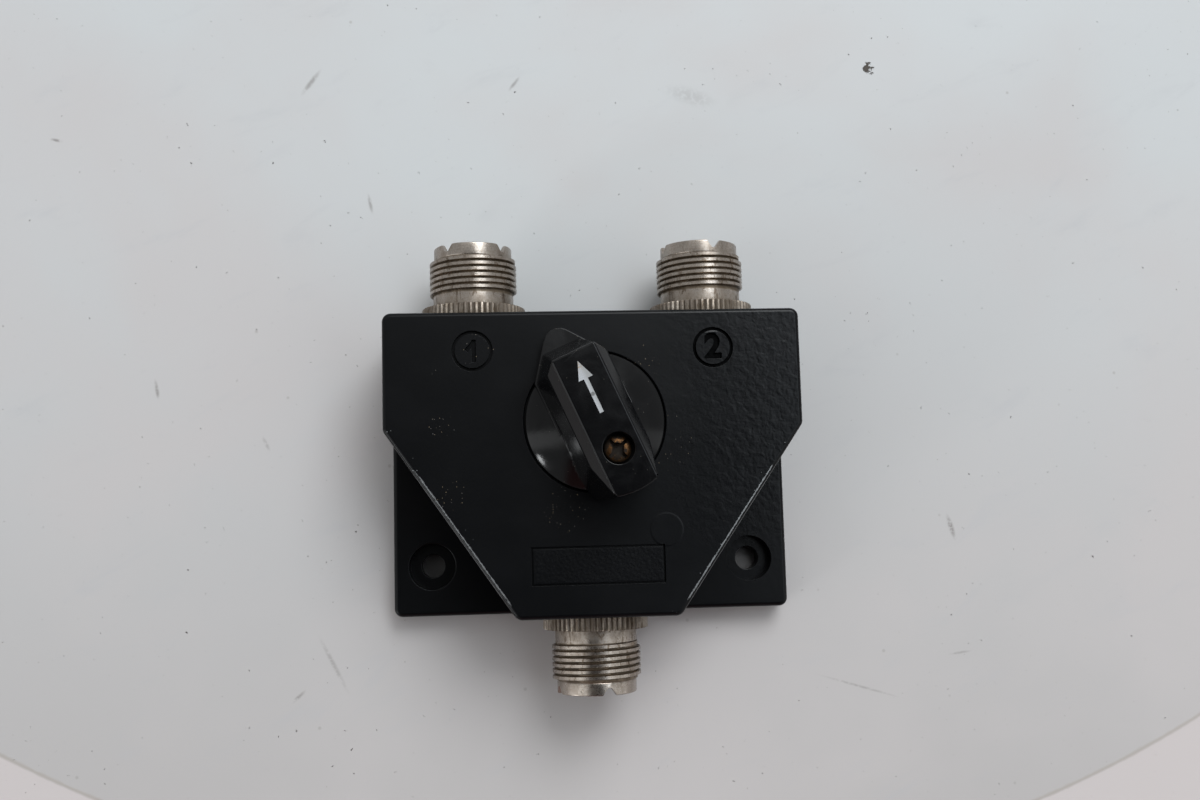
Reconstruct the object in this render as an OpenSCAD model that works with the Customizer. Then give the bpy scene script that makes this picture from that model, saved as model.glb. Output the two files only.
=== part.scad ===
// Coaxial antenna switch: one common connector is switched to either of two outputs by a knob.
// The switch lies on its back. X runs across the outputs, Y towards them and Z out of the front.
// The origin is at the middle of the back. All sizes are in millimetres.

/* [Body] */
// Width of the body, across the output end
body_w = 73; // [72:0.5:80]
// Length of the body, from the output end to the common end
body_l = 53.2; // [52.6:0.2:58]
// Height of the body, from its back to its front
body_h = 24.4; // [24:0.2:27]
// Width of the common end, between the slanted sides
toe_w = 28; // [27:0.5:33]
// Length of the straight sides, from the output end to the slanted sides
shoulder_l = 20.5; // [19:0.5:23]
// Thickness of the side walls
wall_t = 2.6; // [2.2:0.1:3]
// Thickness of the front wall
front_t = 3; // [2.6:0.1:3.4]
// Radius of the upright corners
corner_r = 1.5; // [1.2:0.1:2.4]
// Radius of the edge around the front
edge_r = 0.8; // [0.4:0.1:1.1]

/* [Mounting ears] */
// Thickness of the ears
ear_t = 5.8; // [4.8:0.1:8]
// Diameter of the mounting holes
ear_hole_d = 4.3; // [3.4:0.1:5]
// Distance of a mounting hole from the side of the body
ear_hole_side = 7.05; // [6.2:0.05:8]
// Distance of a mounting hole from the common end
ear_hole_end = 9.05; // [7:0.05:10]
// Diameter of the counterbore for the screw's head
ear_sink_d = 8.4; // [7:0.1:9]
// Depth of that counterbore
ear_sink_depth = 2.6; // [1:0.1:3.2]

/* [Marks on the front] */
// Radius of the ring around each number
mark_r = 3.3; // [2.6:0.1:4]
// Distance of the numbers from the output end
mark_end = 6.9; // [6:0.1:8]
// Width of the cut lines
mark_line = 0.4; // [0.3:0.05:0.6]
// Depth of the cut lines
mark_depth = 0.35; // [0.2:0.05:0.6]
// Width of the label field
label_w = 23; // [16:0.5:24]
// Height of the label field
label_h = 6.6; // [4:0.2:8]
// Distance of the label field's middle from the common end
label_end = 9; // [6:0.1:10]

/* [Back cover] */
// Thickness of the back cover
cover_t = 1.8; // [1.6:0.1:2.4]
// Width of the body's rim around the back cover
cover_rim = 1.3; // [1:0.1:1.6]
// Depth of the back cover's face below the body's back
cover_sink = 0.1; // [0.1:0.05:0.4]
// Diameter of the cover screws
cover_screw_d = 3; // [2.5:0.1:3.2]
// Length of the cover screws
cover_screw_l = 8; // [6:0.5:10]
// Diameter of the bosses that take the cover screws
cover_boss_d = 6.4; // [6:0.1:7]
// Distance of the upper bosses from the output end
upper_boss_end = 12.6; // [11.5:0.1:14]
// Distance of the lower bosses from the common end
lower_boss_end = 16.6; // [13:0.1:19]

/* [Connectors] */
// Distance of each output's axis from the side of the body
out_side = 15.5; // [14.5:0.1:16.5]
// Distance of the connectors' axes below the middle of the hollow, towards the back
conn_drop = 0.25; // [0.1:0.05:0.3]
// Diameter of the knurled flange
flange_d = 18.8; // [17.5:0.1:19.6]
// Thickness of the knurled flange
flange_t = 2.5; // [1.6:0.1:3.2]
// Number of teeth in the flange's knurl
knurl_n = 54; // [40:1:64]
// Depth of the knurl
knurl_depth = 0.3; // [0.2:0.05:0.4]
// Diameter of the plain neck
neck_d = 14.7; // [14.2:0.1:14.9]
// Where the thread starts, from the body
thread_start = 4.6; // [4.2:0.1:5.4]
// Outside diameter of the thread
thread_d = 15.875; // [15.6:0.005:16]
// Pitch of the thread
thread_pitch = 1.058; // [0.8:0.001:1.1]
// Number of threads
thread_n = 6; // [5:1:7]
// Diameter of the plain rim beyond the thread
rim_d = 14.2; // [13.8:0.1:14.6]
// Length of the connector outside the body
shell_l = 13.8; // [13.2:0.1:15]
// Depth of the four notches in the rim
notch_depth = 1.4; // [0.8:0.1:1.8]
// Diameter of the socket inside the rim
socket_d = 12.4; // [12:0.1:12.8]
// Depth of the socket, down to its step
socket_depth = 8.8; // [8.4:0.1:9]
// Thickness of the insulator's lip on that step
lip_t = 0.6; // [0.4:0.1:0.8]
// Thickness of the stem that goes through the wall
stem_wall = 1.7; // [1.4:0.1:2]
// Outside diameter of the centre contact
contact_d = 6; // [5.6:0.1:6.4]
// Diameter of the centre contact's bore
contact_bore = 4.06; // [4:0.01:4.2]
// Depth of the centre contact's bore
contact_bore_l = 7.6; // [6:0.1:7.8]
// Depth of the centre contact's end below the rim
contact_recess = 1.6; // [1:0.1:2.4]
// Diameter of the centre contact's tail
tail_d = 3; // [2.6:0.1:3.4]
// Gap above and below the lock nut's corners, between the front wall and the back cover
nut_room = 0.5; // [0.4:0.05:0.8]
// Thickness of the lock nut between the stem and its flats
nut_wall = 1.5; // [1.2:0.1:1.8]
// Thickness of the lock nut
nut_t = 3; // [2.4:0.1:3.2]
// Thickness of the lock washer
washer_t = 0.8; // [0.5:0.1:1]

/* [Switch] */
// Distance of the knob's axis from the output end
pivot_end = 19.5; // [19:0.1:21]
// Angle between position 1 and position 2
turn = 48; // [44:1:54]
// Diameter of the rotor's shaft
rotor_d = 9; // [8.4:0.1:9.6]
// Diameter of the rotor's head, under the knob
head_d = 17; // [16.4:0.1:17.4]
// Thickness of the rotor's head
head_t = 2.4; // [2:0.1:2.5]
// Thickness of the thrust washer under the rotor's head
thrust_t = 0.4; // [0.3:0.05:0.5]
// Diameter of the bearing boss
boss_d = 19; // [18:0.1:20]
// Diameter of the detent cam
cam_d = 18; // [17.4:0.1:18.4]
// Thickness of the detent cam
cam_t = 1.8; // [1.4:0.1:2]
// Thickness of the retaining ring
ring_t = 0.8; // [0.6:0.1:0.9]
// Gap between the retaining ring and the contact blades
ring_room = 1.2; // [1:0.1:1.4]
// Diameter of the stop pin under the boss
stop_d = 2; // [1.6:0.1:2.2]
// Distance of the stop pin from the knob's axis
stop_r = 6.5; // [6.3:0.1:6.7]
// Outside radius of the detent spring's nose
nose_r = 1.4; // [1.2:0.1:1.6]
// Thickness of the detent spring
spring_t = 0.4; // [0.3:0.05:0.5]
// Width of the detent spring
spring_w = 3; // [2.6:0.1:3.2]
// Distance of the contact pads from the knob's axis
pad_r = 11.5; // [11.2:0.1:11.8]
// Width of the contact strips
strip_w = 3.6; // [3.2:0.1:3.8]
// Thickness of the contact strips
strip_t = 0.8; // [0.6:0.1:1]
// Width of the contact blades
blade_w = 5; // [4.6:0.1:5.4]
// Thickness of the contact blades
blade_t = 0.5; // [0.4:0.05:0.6]
// Gap between a contact blade and the strips
blade_gap = 0.1; // [0.05:0.05:0.2]
// Diameter of the pivot rivet
pivot_d = 3; // [2.6:0.1:3.2]

/* [Knob] */
// Height of the knob above the front
knob_h = 16.8; // [15:0.2:18]
// Diameter of the knob's round skirt
skirt_d = 24; // [23.6:0.1:25]
// Height of the skirt's edge above the front
skirt_edge = 0.5; // [0.3:0.1:0.6]
// Rise of the skirt's dome from its edge to its middle
dome_h = 4.1; // [4:0.1:5]
// Depth of the recess that the skirt turns in
recess_depth = 1.5; // [1.2:0.1:1.6]
// Width of the grip's flat top
grip_w = 7.5; // [7:0.1:8.5]
// Reach of the grip's top in front of the axis
grip_front = 10.75; // [10:0.05:11.5]
// Reach of the grip's top behind the axis, at its corners
grip_tail = 13.25; // [12.5:0.05:14]
// Bow of the grip's tail
tail_bow = 0.55; // [0:0.05:1]
// Width of the side chamfers
chamfer_w = 1.55; // [1:0.05:1.8]
// Height of the side chamfers
chamfer_h = 2.2; // [1.5:0.1:3]
// Width of the grip's foot
foot_w = 13.8; // [13:0.1:15]
// Reach of the pointer nose in front of the axis
nose_reach = 17.4; // [16.5:0.1:18]
// Radius of the pointer nose's tip
nose_tip_r = 2.8; // [2.4:0.1:3.2]
// Height of the pointer nose above the front
nose_h = 2.5; // [2:0.1:3]
// Distance of the knob screw behind the axis
knob_screw_r = 6.4; // [6:0.1:6.8]
// Diameter of the knob screw
knob_screw_d = 2.6; // [2.4:0.1:3]
// Diameter of the recess for the knob screw's head
screw_recess_d = 5.2; // [5:0.1:5.6]
// Depth of the knob screw's head below the grip's top
screw_sink = 1.5; // [0.8:0.1:3]
// Length of the arrow on the grip
arrow_l = 9.1; // [7:0.1:10]
// Reach of the arrow's tip in front of the axis
arrow_tip = 9; // [8.5:0.1:9.5]

/* [Fits] */
// Gap all round between pieces that are fixed together
fixed_gap = 0.02; // [0.01:0.01:0.04]
// Gap all round between a shaft and the bore that it turns in
running_gap = 0.05; // [0.03:0.01:0.08]
// Gap between faces that pass each other
face_gap = 0.1; // [0.05:0.05:0.15]
// Gap between the knob and the body
knob_gap = 0.3; // [0.25:0.05:0.4]

/* [Hidden] */
$fn = 96;
eps = 0.01;
over = 1;
hull_fn = 32;

// Plan of the body
end_y = body_l / 2;
shoulder_y = end_y - shoulder_l;
slant = atan2((body_w - toe_w) / 2, body_l - shoulder_l);
pivot_y = end_y - pivot_end;
ear_hole_x = body_w / 2 - ear_hole_side;
ear_hole_y = ear_hole_end - end_y;

// Heights in the body
roof_z = body_h - front_t;
seat_z = body_h - recess_depth;
cover_z = cover_sink + cover_t;

// Marks
digit_h = 3.6;

// Cover screws
cover_head_d = 1.8 * cover_screw_d;
cover_head_h = 0.5 * cover_screw_d;
cover_boss_in = wall_t + cover_boss_d / 2 - 0.3;

// Connectors, along their axes from the outside of the wall
out_x = body_w / 2 - out_side;
conn_z = (cover_z + roof_z) / 2 - conn_drop;
nut_af = (roof_z - cover_z - 2 * nut_room) * cos(30);
stem_d = nut_af - 2 * nut_wall;
insulator_d = stem_d - 2 * stem_wall;
output_1_notch_turn = 50;
output_2_notch_turn = 15;
common_notch_turn = -15;
thread_end = thread_start + thread_n * thread_pitch;
socket_floor = shell_l - socket_depth;
contact_end = shell_l - contact_recess;
stem_l = wall_t + washer_t + nut_t + 0.3;
insulator_back = stem_l + 0.2;
collar_t = 1.2;
contact_seat = socket_floor + lip_t - collar_t + fixed_gap;
slot_w = 0.5;
slot_l = 6;
washer_d = nut_af - 0.4;
washer_teeth = 16;

// Contact strips and blades
strip_y = pivot_y + pad_r * cos(turn / 2);
pad_x = pad_r * sin(turn / 2);
pad_l = 3.8;
tail_over = 0.6;
tail_l = end_y - strip_y + strip_w / 2 + tail_over;
tail_slot_l = strip_w + tail_over + 0.1;
strip_low_z = conn_z - strip_t / 2;
strip_top_z = conn_z + strip_t / 2;
upper_blade_z = strip_top_z + blade_gap;
lower_blade_z = strip_low_z - blade_gap - blade_t;
blade_reach = pad_r + 2.1;
blade_back = 4;
common_ring_d = 10;
spacer_r = common_ring_d / 2 + 2.2;
spacer_d = 2.6;
rivet_d = 1.6;
rivet_head_d = 2.8;
rivet_head_t = 0.5;
pivot_head_d = 6;
pivot_head_t = 0.8;
pivot_depth = 6;

// Rotor and detent
rotor_z = upper_blade_z + face_gap;
head_z = seat_z + thrust_t + face_gap;
head_top_z = head_z + head_t;
ring_z = upper_blade_z + blade_t + ring_room;
cam_z = ring_z + ring_t + fixed_gap;
boss_z = cam_z + cam_t + 2 * face_gap;
ring_d = 12;
groove_d = rotor_d - 1.6;
thrust_d = 14;
flat_x = 0.4 * rotor_d;
stop_slot_w = stop_d + 3 * face_gap;
notch_r = nose_r + face_gap;
nose_y = cam_d / 2 + 0.5;
spring_z = boss_z - face_gap - spring_w;
spring_back = 14.5;
spring_front = 5;
post_w = 5;
post_t = 4;
detent_screw_d = 2;
detent_screw_l = 3;
detent_head_d = 3.6;
detent_head_h = 1.3;

// Knob
knob_top_z = body_h + knob_h;
skirt_z = seat_z + knob_gap;
foot_z = body_h + knob_gap + 0.1;
dome_r = (pow(skirt_d / 2, 2) + pow(dome_h, 2)) / (2 * dome_h);
pocket_top_z = head_top_z + face_gap;
crease_y = nose_reach - 3.4;
shoulder_front = grip_front - 0.75;
chamfer_front = grip_front - 2.75;
chamfer_tail = grip_tail - 5.85;
foot_tail = grip_tail - 2.2;
foot_in = 0.7;
screw_head_d = screw_recess_d - 0.6;
screw_head_h = 1.6;
screw_seat_z = knob_top_z - screw_sink - screw_head_h;
knob_screw_l = screw_seat_z - head_z - 0.4;
arrow_depth = 0.3;
arrow_head_l = 3.1;
arrow_head_w = 2.5;
arrow_shaft_w = 0.7;

// Corners of the body's outline, drawn in by d
function plan(d) =
    let (w = body_w / 2 - d,
        side_y = shoulder_y + d * tan(slant / 2),
        toe_x = toe_w / 2 - d * tan((90 - slant) / 2))
    [[-w, end_y - d], [w, end_y - d], [w, side_y],
     [toe_x, d - end_y], [-toe_x, d - end_y], [-w, side_y]];

// Corners of the full rectangle at the body's base, drawn in by d
function base_plan(d) =
    [for (sx = [-1, 1], sy = [-1, 1]) [sx * (body_w / 2 - d), sy * (end_y - d)]];

// Where a line drawn in by d from the slanted side crosses height y
function slant_x(d, y) =
    body_w / 2 - d - (shoulder_y + d * tan(slant / 2) - y) * tan(slant);

// Outline of a wheel with n square teeth
function toothed(n, outer_r, inner_r, share) =
    [for (i = [0:n - 1], k = [0:3])
        let (a = 360 / n * (i + [0, 0.12, share, share + 0.12][k]),
            r = [inner_r, outer_r, outer_r, inner_r][k])
        [r * cos(a), r * sin(a)]];

// Places

module mirrored() {
    children();
    mirror([1, 0, 0]) children();
}

module at_output(side) {
    translate([side * out_x, end_y, conn_z]) rotate([-90, 0, 0]) children();
}

module at_common() {
    translate([0, -end_y, conn_z]) rotate([90, 0, 0]) children();
}

module at_connectors() {
    at_output(-1) children();
    at_output(1) children();
    at_common() children();
}

module at_pivot(z = 0) {
    translate([0, pivot_y, z]) children();
}

// The moving pieces point at position 1
module at_selector(z = 0) {
    at_pivot(z) rotate([0, 0, turn / 2]) children();
}

module at_cover_bosses() {
    upper_y = end_y - upper_boss_end;
    lower_y = lower_boss_end - end_y;
    mirrored() {
        translate([body_w / 2 - cover_boss_in, upper_y, 0]) children();
        translate([slant_x(cover_boss_in, lower_y), lower_y, 0]) children();
    }
}

// Shared shapes

module ring(outer_d, inner_d, h) {
    difference() {
        cylinder(d = outer_d, h = h);
        translate([0, 0, -over]) cylinder(d = inner_d, h = h + 2 * over);
    }
}

// A slab with round upright corners at the given centres and a round upper edge
module rounded_slab(centres, h) {
    hull() for (c = centres) translate(c) {
        cylinder(r = corner_r, h = eps, $fn = hull_fn);
        for (a = [0:22.5:90])
            translate([0, 0, h - edge_r + edge_r * sin(a) - eps])
                cylinder(r = corner_r - edge_r + edge_r * cos(a), h = eps, $fn = hull_fn);
    }
}

module cross_recess(w, l, depth) {
    for (a = [0, 90]) rotate([0, 0, a]) translate([-l / 2, -w / 2, -depth])
        cube([l, w, depth + over]);
}

// Screws stand with the top of the head at z = 0 and the shank below
module flat_screw(d, head_d, head_h, l) {
    difference() {
        rotate_extrude() polygon([[0, 0], [head_d / 2, 0], [d / 2, -head_h], [d / 2, -l + 0.3],
            [d / 2 - 0.3, -l], [0, -l]]);
        cross_recess(0.16 * head_d, 0.6 * head_d, 0.6 * head_h);
    }
}

module pan_screw(d, head_d, head_h, l) {
    round_r = 0.35 * head_h;
    difference() {
        rotate_extrude() polygon([[0, -head_h - l], [d / 2 - 0.3, -head_h - l],
            [d / 2, -head_h - l + 0.3], [d / 2, -head_h], [head_d / 2, -head_h],
            [head_d / 2, -round_r], [head_d / 2 - 0.3 * round_r, -0.3 * round_r],
            [head_d / 2 - round_r, 0], [0, 0]]);
        cross_recess(0.17 * head_d, 0.66 * head_d, 0.55 * head_h);
    }
}

// Body

module digit_one() {
    translate([-0.1, -digit_h / 2]) square([0.7, digit_h]);
    polygon([[-0.1, 1.8], [-1.05, 0.95], [-1.05, 0.35], [-0.1, 0.95]]);
}

module digit_two() {
    bowl_y = 0.75;
    translate([0, bowl_y]) intersection() {
        difference() {
            circle(r = 1.15);
            circle(r = 0.5);
        }
        polygon([[0, 0], [2, -0.9], [2, 2], [-2, 2], [-2, 0.1]]);
    }
    polygon([[0.45, 0.5], [1.05, 0.35], [-0.25, -1.2], [-1.15, -1.2]]);
    translate([-1.15, -digit_h / 2]) square([2.3, 0.65]);
}

module front_marks() {
    cut_h = mark_depth + over;
    for (side = [-1, 1]) translate([side * out_x, end_y - mark_end, 0]) {
        ring(2 * mark_r, 2 * (mark_r - mark_line), cut_h);
        linear_extrude(cut_h) if (side < 0) digit_one(); else digit_two();
    }
    translate([0, label_end - end_y, 0]) linear_extrude(cut_h) difference() {
        square([label_w, label_h], center = true);
        square([label_w - 2 * mark_line, label_h - 2 * mark_line], center = true);
    }
}

module housing_inside() {
    boss_top = roof_z + eps;
    at_pivot(boss_z) cylinder(d = boss_d, h = boss_top - boss_z);
    at_pivot(cam_z + 0.3) translate([0, stop_r, 0])
        cylinder(d = stop_d, h = boss_z - cam_z);
    at_cover_bosses() translate([0, 0, cover_z])
        cylinder(d = cover_boss_d, h = boss_top - cover_z);
    at_pivot(spring_z) translate([-spring_back, -nose_y, 0])
        cube([post_w, post_t, boss_top - spring_z]);
}

module housing_cuts() {
    at_connectors() translate([0, 0, -wall_t - over])
        cylinder(d = stem_d + 2 * running_gap, h = wall_t + 2 * over);
    at_pivot(seat_z) cylinder(d = skirt_d + 2 * knob_gap, h = recess_depth + over);
    at_pivot(boss_z - over) cylinder(d = rotor_d + 2 * running_gap, h = body_h);
    mirrored() translate([ear_hole_x, ear_hole_y, 0]) {
        translate([0, 0, -over]) cylinder(d = ear_hole_d, h = ear_t + 2 * over);
        translate([0, 0, ear_t - ear_sink_depth])
            cylinder(d = ear_sink_d, h = ear_sink_depth + over);
    }
    at_cover_bosses() translate([0, 0, cover_z - eps])
        cylinder(d = cover_screw_d + 2 * fixed_gap, h = cover_screw_l);
    at_pivot(spring_z + spring_w / 2) translate([post_w / 2 - spring_back, -nose_y - eps, 0])
        rotate([-90, 0, 0]) cylinder(d = detent_screw_d + 2 * fixed_gap, h = detent_screw_l);
    translate([0, 0, body_h - mark_depth]) front_marks();
}

module housing() {
    color([0.07, 0.07, 0.075]) difference() {
        union() {
            difference() {
                union() {
                    rounded_slab(plan(corner_r), body_h);
                    rounded_slab(base_plan(corner_r), ear_t);
                }
                translate([0, 0, cover_z - eps])
                    linear_extrude(roof_z - cover_z + eps) polygon(plan(wall_t));
                translate([0, 0, -over])
                    linear_extrude(cover_z + over) polygon(plan(cover_rim));
            }
            intersection() {
                housing_inside();
                linear_extrude(body_h) polygon(plan(wall_t / 2));
            }
        }
        housing_cuts();
    }
}

module back_cover() {
    head_hole_d = cover_head_d + 2 * fixed_gap;
    color([0.1, 0.1, 0.105]) difference() {
        translate([0, 0, cover_sink]) linear_extrude(cover_t)
            polygon(plan(cover_rim + face_gap));
        at_cover_bosses() {
            translate([0, 0, -over])
                cylinder(d = cover_screw_d + 4 * face_gap, h = cover_z + 2 * over);
            translate([0, 0, -over])
                cylinder(d = head_hole_d, h = cover_sink + fixed_gap + over + eps);
            translate([0, 0, cover_sink + fixed_gap]) cylinder(h = cover_head_h,
                d1 = head_hole_d, d2 = cover_screw_d + 2 * fixed_gap);
        }
    }
}

module back_cover_screws() {
    color([0.6, 0.6, 0.58]) at_cover_bosses() translate([0, 0, cover_sink + fixed_gap])
        mirror([0, 0, 1])
            flat_screw(cover_screw_d, cover_head_d, cover_head_h, cover_screw_l);
}

// Connectors, each drawn along +Z with the outside of the wall at z = 0

module rim_notch(turned) {
    rotate([0, 0, turned]) translate([0, rim_d / 2 + over, shell_l - notch_depth])
        rotate([90, 0, 0]) linear_extrude(rim_d / 2 - contact_d / 2)
            polygon([[-0.35, 0], [0.35, 0], [1.2 + notch_depth / 2, notch_depth + over],
                [-1.2 - notch_depth / 2, notch_depth + over]]);
}

// The four notches stand at the given angle about the axis
module connector_shell(notch_turn) {
    thread_r = thread_d / 2;
    neck_r = neck_d / 2;
    chamfer = 0.3;
    threads = [for (i = [0:thread_n - 1], p = [0, 0.42, 0.58])
        [p == 0 ? neck_r : thread_r, thread_start + (i + p) * thread_pitch]];
    difference() {
        union() {
            rotate_extrude() polygon(concat(
                [[0, -stem_l], [stem_d / 2 - chamfer, -stem_l], [stem_d / 2, chamfer - stem_l],
                 [stem_d / 2, 0], [neck_r, 0]],
                threads,
                [[neck_r, thread_end], [rim_d / 2, thread_end + 0.2],
                 [rim_d / 2, shell_l - chamfer / 2], [rim_d / 2 - chamfer / 2, shell_l],
                 [0, shell_l]]));
            linear_extrude(flange_t)
                polygon(toothed(knurl_n, flange_d / 2, flange_d / 2 - knurl_depth, 0.5));
        }
        translate([0, 0, socket_floor]) cylinder(d = socket_d, h = socket_depth + over);
        translate([0, 0, -stem_l - over])
            cylinder(d = insulator_d + 2 * fixed_gap, h = stem_l + socket_floor + 2 * over);
        for (i = [0:3]) rim_notch(notch_turn + 90 * i);
    }
}

module insulator() {
    difference() {
        union() {
            translate([0, 0, -insulator_back])
                cylinder(d = insulator_d, h = insulator_back + socket_floor + eps);
            translate([0, 0, socket_floor])
                cylinder(d = socket_d - 2 * fixed_gap, h = lip_t);
        }
        translate([0, 0, -insulator_back - over])
            cylinder(d = tail_d + 2 * fixed_gap, h = insulator_back + socket_floor + 3 * over);
        translate([0, 0, contact_seat - fixed_gap])
            cylinder(d = contact_d + 2 * fixed_gap, h = collar_t + over);
    }
}

// The tail is slotted level with the contact strips
module centre_contact() {
    difference() {
        union() {
            translate([0, 0, contact_seat])
                cylinder(d = contact_d, h = contact_end - contact_seat);
            translate([0, 0, -tail_l]) cylinder(d = tail_d, h = tail_l + contact_seat + eps);
        }
        translate([0, 0, contact_end - contact_bore_l])
            cylinder(d = contact_bore, h = contact_bore_l + over);
        for (a = [45, 135]) rotate([0, 0, a])
            translate([-slot_w / 2, -contact_d, contact_end - slot_l])
                cube([slot_w, 2 * contact_d, slot_l + over]);
        translate([-tail_d, -strip_t / 2 - fixed_gap, -tail_l - over])
            cube([2 * tail_d, strip_t + 2 * fixed_gap, tail_slot_l + over]);
    }
}

module output_1_connector_shell() {
    color([0.72, 0.69, 0.64]) at_output(-1) connector_shell(output_1_notch_turn);
}

module output_2_connector_shell() {
    color([0.72, 0.69, 0.64]) at_output(1) connector_shell(output_2_notch_turn);
}

module common_connector_shell() {
    color([0.72, 0.69, 0.64]) at_common() connector_shell(common_notch_turn);
}

module output_1_insulator() {
    color([0.93, 0.92, 0.87]) at_output(-1) insulator();
}

module output_2_insulator() {
    color([0.93, 0.92, 0.87]) at_output(1) insulator();
}

module common_insulator() {
    color([0.93, 0.92, 0.87]) at_common() insulator();
}

module output_1_centre_contact() {
    color([0.83, 0.72, 0.45]) at_output(-1) centre_contact();
}

module output_2_centre_contact() {
    color([0.83, 0.72, 0.45]) at_output(1) centre_contact();
}

module common_centre_contact() {
    color([0.83, 0.72, 0.45]) at_common() centre_contact();
}

module connector_lock_washers() {
    color([0.66, 0.66, 0.64]) at_connectors() translate([0, 0, -wall_t - washer_t])
        difference() {
            linear_extrude(washer_t)
                polygon(toothed(washer_teeth, washer_d / 2, washer_d / 2 - 0.5, 0.5));
            translate([0, 0, -over])
                cylinder(d = stem_d + 2 * running_gap, h = washer_t + 2 * over);
        }
}

module connector_lock_nuts() {
    color([0.7, 0.68, 0.62]) at_connectors() translate([0, 0, -wall_t - washer_t - nut_t])
        difference() {
            cylinder(d = nut_af / cos(30), h = nut_t - fixed_gap, $fn = 6);
            translate([0, 0, -over])
                cylinder(d = stem_d + 2 * running_gap, h = nut_t + 2 * over);
        }
}

// Contacts

module output_strip() {
    strip_l = out_x + tail_d / 2 + 0.5 - pad_x + pad_l / 2;
    translate([pad_x - pad_l / 2, strip_y - strip_w / 2, strip_low_z])
        cube([strip_l, strip_w, strip_t]);
}

module output_1_contact_strip() {
    color([0.8, 0.52, 0.3]) mirror([1, 0, 0]) output_strip();
}

module output_2_contact_strip() {
    color([0.8, 0.52, 0.3]) output_strip();
}

module common_contact_strip() {
    strip_end = tail_l - tail_slot_l + fixed_gap - end_y;
    color([0.8, 0.52, 0.3]) difference() {
        union() {
            at_pivot(strip_low_z) cylinder(d = common_ring_d, h = strip_t);
            translate([-strip_w / 2, strip_end, strip_low_z])
                cube([strip_w, pivot_y - strip_end, strip_t]);
        }
        at_pivot(strip_low_z - over)
            cylinder(d = pivot_d + 2 * running_gap, h = strip_t + 2 * over);
    }
}

module blade() {
    tip_r = blade_w / 2;
    difference() {
        union() {
            translate([-tip_r, -blade_back, 0])
                cube([blade_w, blade_back + blade_reach - tip_r, blade_t]);
            translate([0, blade_reach - tip_r, 0]) cylinder(r = tip_r, h = blade_t);
        }
        translate([0, 0, -over])
            cylinder(d = pivot_d + 2 * fixed_gap, h = blade_t + 2 * over);
        translate([0, spacer_r, -over])
            cylinder(d = rivet_d + 2 * fixed_gap, h = blade_t + 2 * over);
    }
}

module upper_contact_blade() {
    color([0.86, 0.7, 0.42]) at_selector(upper_blade_z) blade();
}

module lower_contact_blade() {
    color([0.86, 0.7, 0.42]) at_selector(lower_blade_z) blade();
}

module blade_spacer_rivet() {
    low_z = lower_blade_z - rivet_head_t;
    top_z = upper_blade_z + blade_t;
    gap_z = lower_blade_z + blade_t;
    color([0.75, 0.73, 0.7]) at_selector() translate([0, spacer_r, 0]) {
        translate([0, 0, low_z]) cylinder(d = rivet_head_d, h = rivet_head_t);
        translate([0, 0, low_z]) cylinder(d = rivet_d, h = top_z - low_z + eps);
        translate([0, 0, gap_z]) cylinder(d = spacer_d, h = upper_blade_z - gap_z);
        translate([0, 0, top_z]) cylinder(d = rivet_head_d, h = rivet_head_t);
    }
}

module pivot_rivet() {
    color([0.75, 0.73, 0.7]) at_selector(lower_blade_z - pivot_head_t) {
        cylinder(d = pivot_head_d, h = pivot_head_t);
        cylinder(d = pivot_d, h = rotor_z + pivot_depth - lower_blade_z + pivot_head_t);
    }
}

// Rotor and detent

// Outline of the rotor's shaft where the cam sits, larger all round by gap
module keyed_shaft(gap) {
    intersection() {
        circle(d = rotor_d + 2 * gap);
        translate([-rotor_d, -rotor_d]) square([rotor_d + flat_x + gap, 2 * rotor_d]);
    }
}

module rotor() {
    color([0.45, 0.25, 0.12]) at_selector() difference() {
        union() {
            translate([0, 0, head_z]) cylinder(d = head_d, h = head_t);
            translate([0, 0, boss_z]) cylinder(d = rotor_d, h = head_z - boss_z + eps);
            translate([0, 0, rotor_z])
                linear_extrude(boss_z - rotor_z + eps) keyed_shaft(0);
        }
        translate([0, 0, ring_z - fixed_gap]) ring(rotor_d + over, groove_d, ring_t + 2 * fixed_gap);
        translate([0, 0, rotor_z - over])
            cylinder(d = pivot_d + 2 * fixed_gap, h = pivot_depth + over);
        translate([-blade_w / 2 - fixed_gap, -rotor_d, rotor_z - over])
            cube([blade_w + 2 * fixed_gap, 2 * rotor_d,
                upper_blade_z + blade_t + fixed_gap - rotor_z + over]);
        translate([0, -knob_screw_r, head_z - over])
            cylinder(d = knob_screw_d + 2 * fixed_gap, h = head_t + 2 * over);
    }
}

module thrust_washer() {
    color([0.8, 0.8, 0.78]) at_selector(head_z - thrust_t)
        ring(thrust_d, rotor_d + 2 * running_gap, thrust_t);
}

module detent_cam() {
    color([0.9, 0.88, 0.8]) at_selector(cam_z) difference() {
        cylinder(d = cam_d, h = cam_t);
        translate([0, 0, -over]) {
            linear_extrude(cam_t + 2 * over) keyed_shaft(fixed_gap);
            rotate([0, 0, 90 - turn / 2]) rotate_extrude(angle = turn)
                translate([stop_r - stop_slot_w / 2, 0]) square([stop_slot_w, cam_t + 2 * over]);
            for (side = [-1, 1]) rotate([0, 0, side * turn / 2]) {
                translate([0, stop_r, 0]) cylinder(d = stop_slot_w, h = cam_t + 2 * over);
                translate([0, -nose_y, 0]) cylinder(r = notch_r, h = cam_t + 2 * over);
            }
        }
    }
}

module retaining_ring() {
    mouth = groove_d - 0.8;
    color([0.3, 0.3, 0.32]) at_selector(ring_z) difference() {
        ring(ring_d, groove_d + 2 * fixed_gap, ring_t);
        translate([-mouth / 2, -ring_d, -over]) cube([mouth, ring_d, ring_t + 2 * over]);
    }
}

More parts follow.
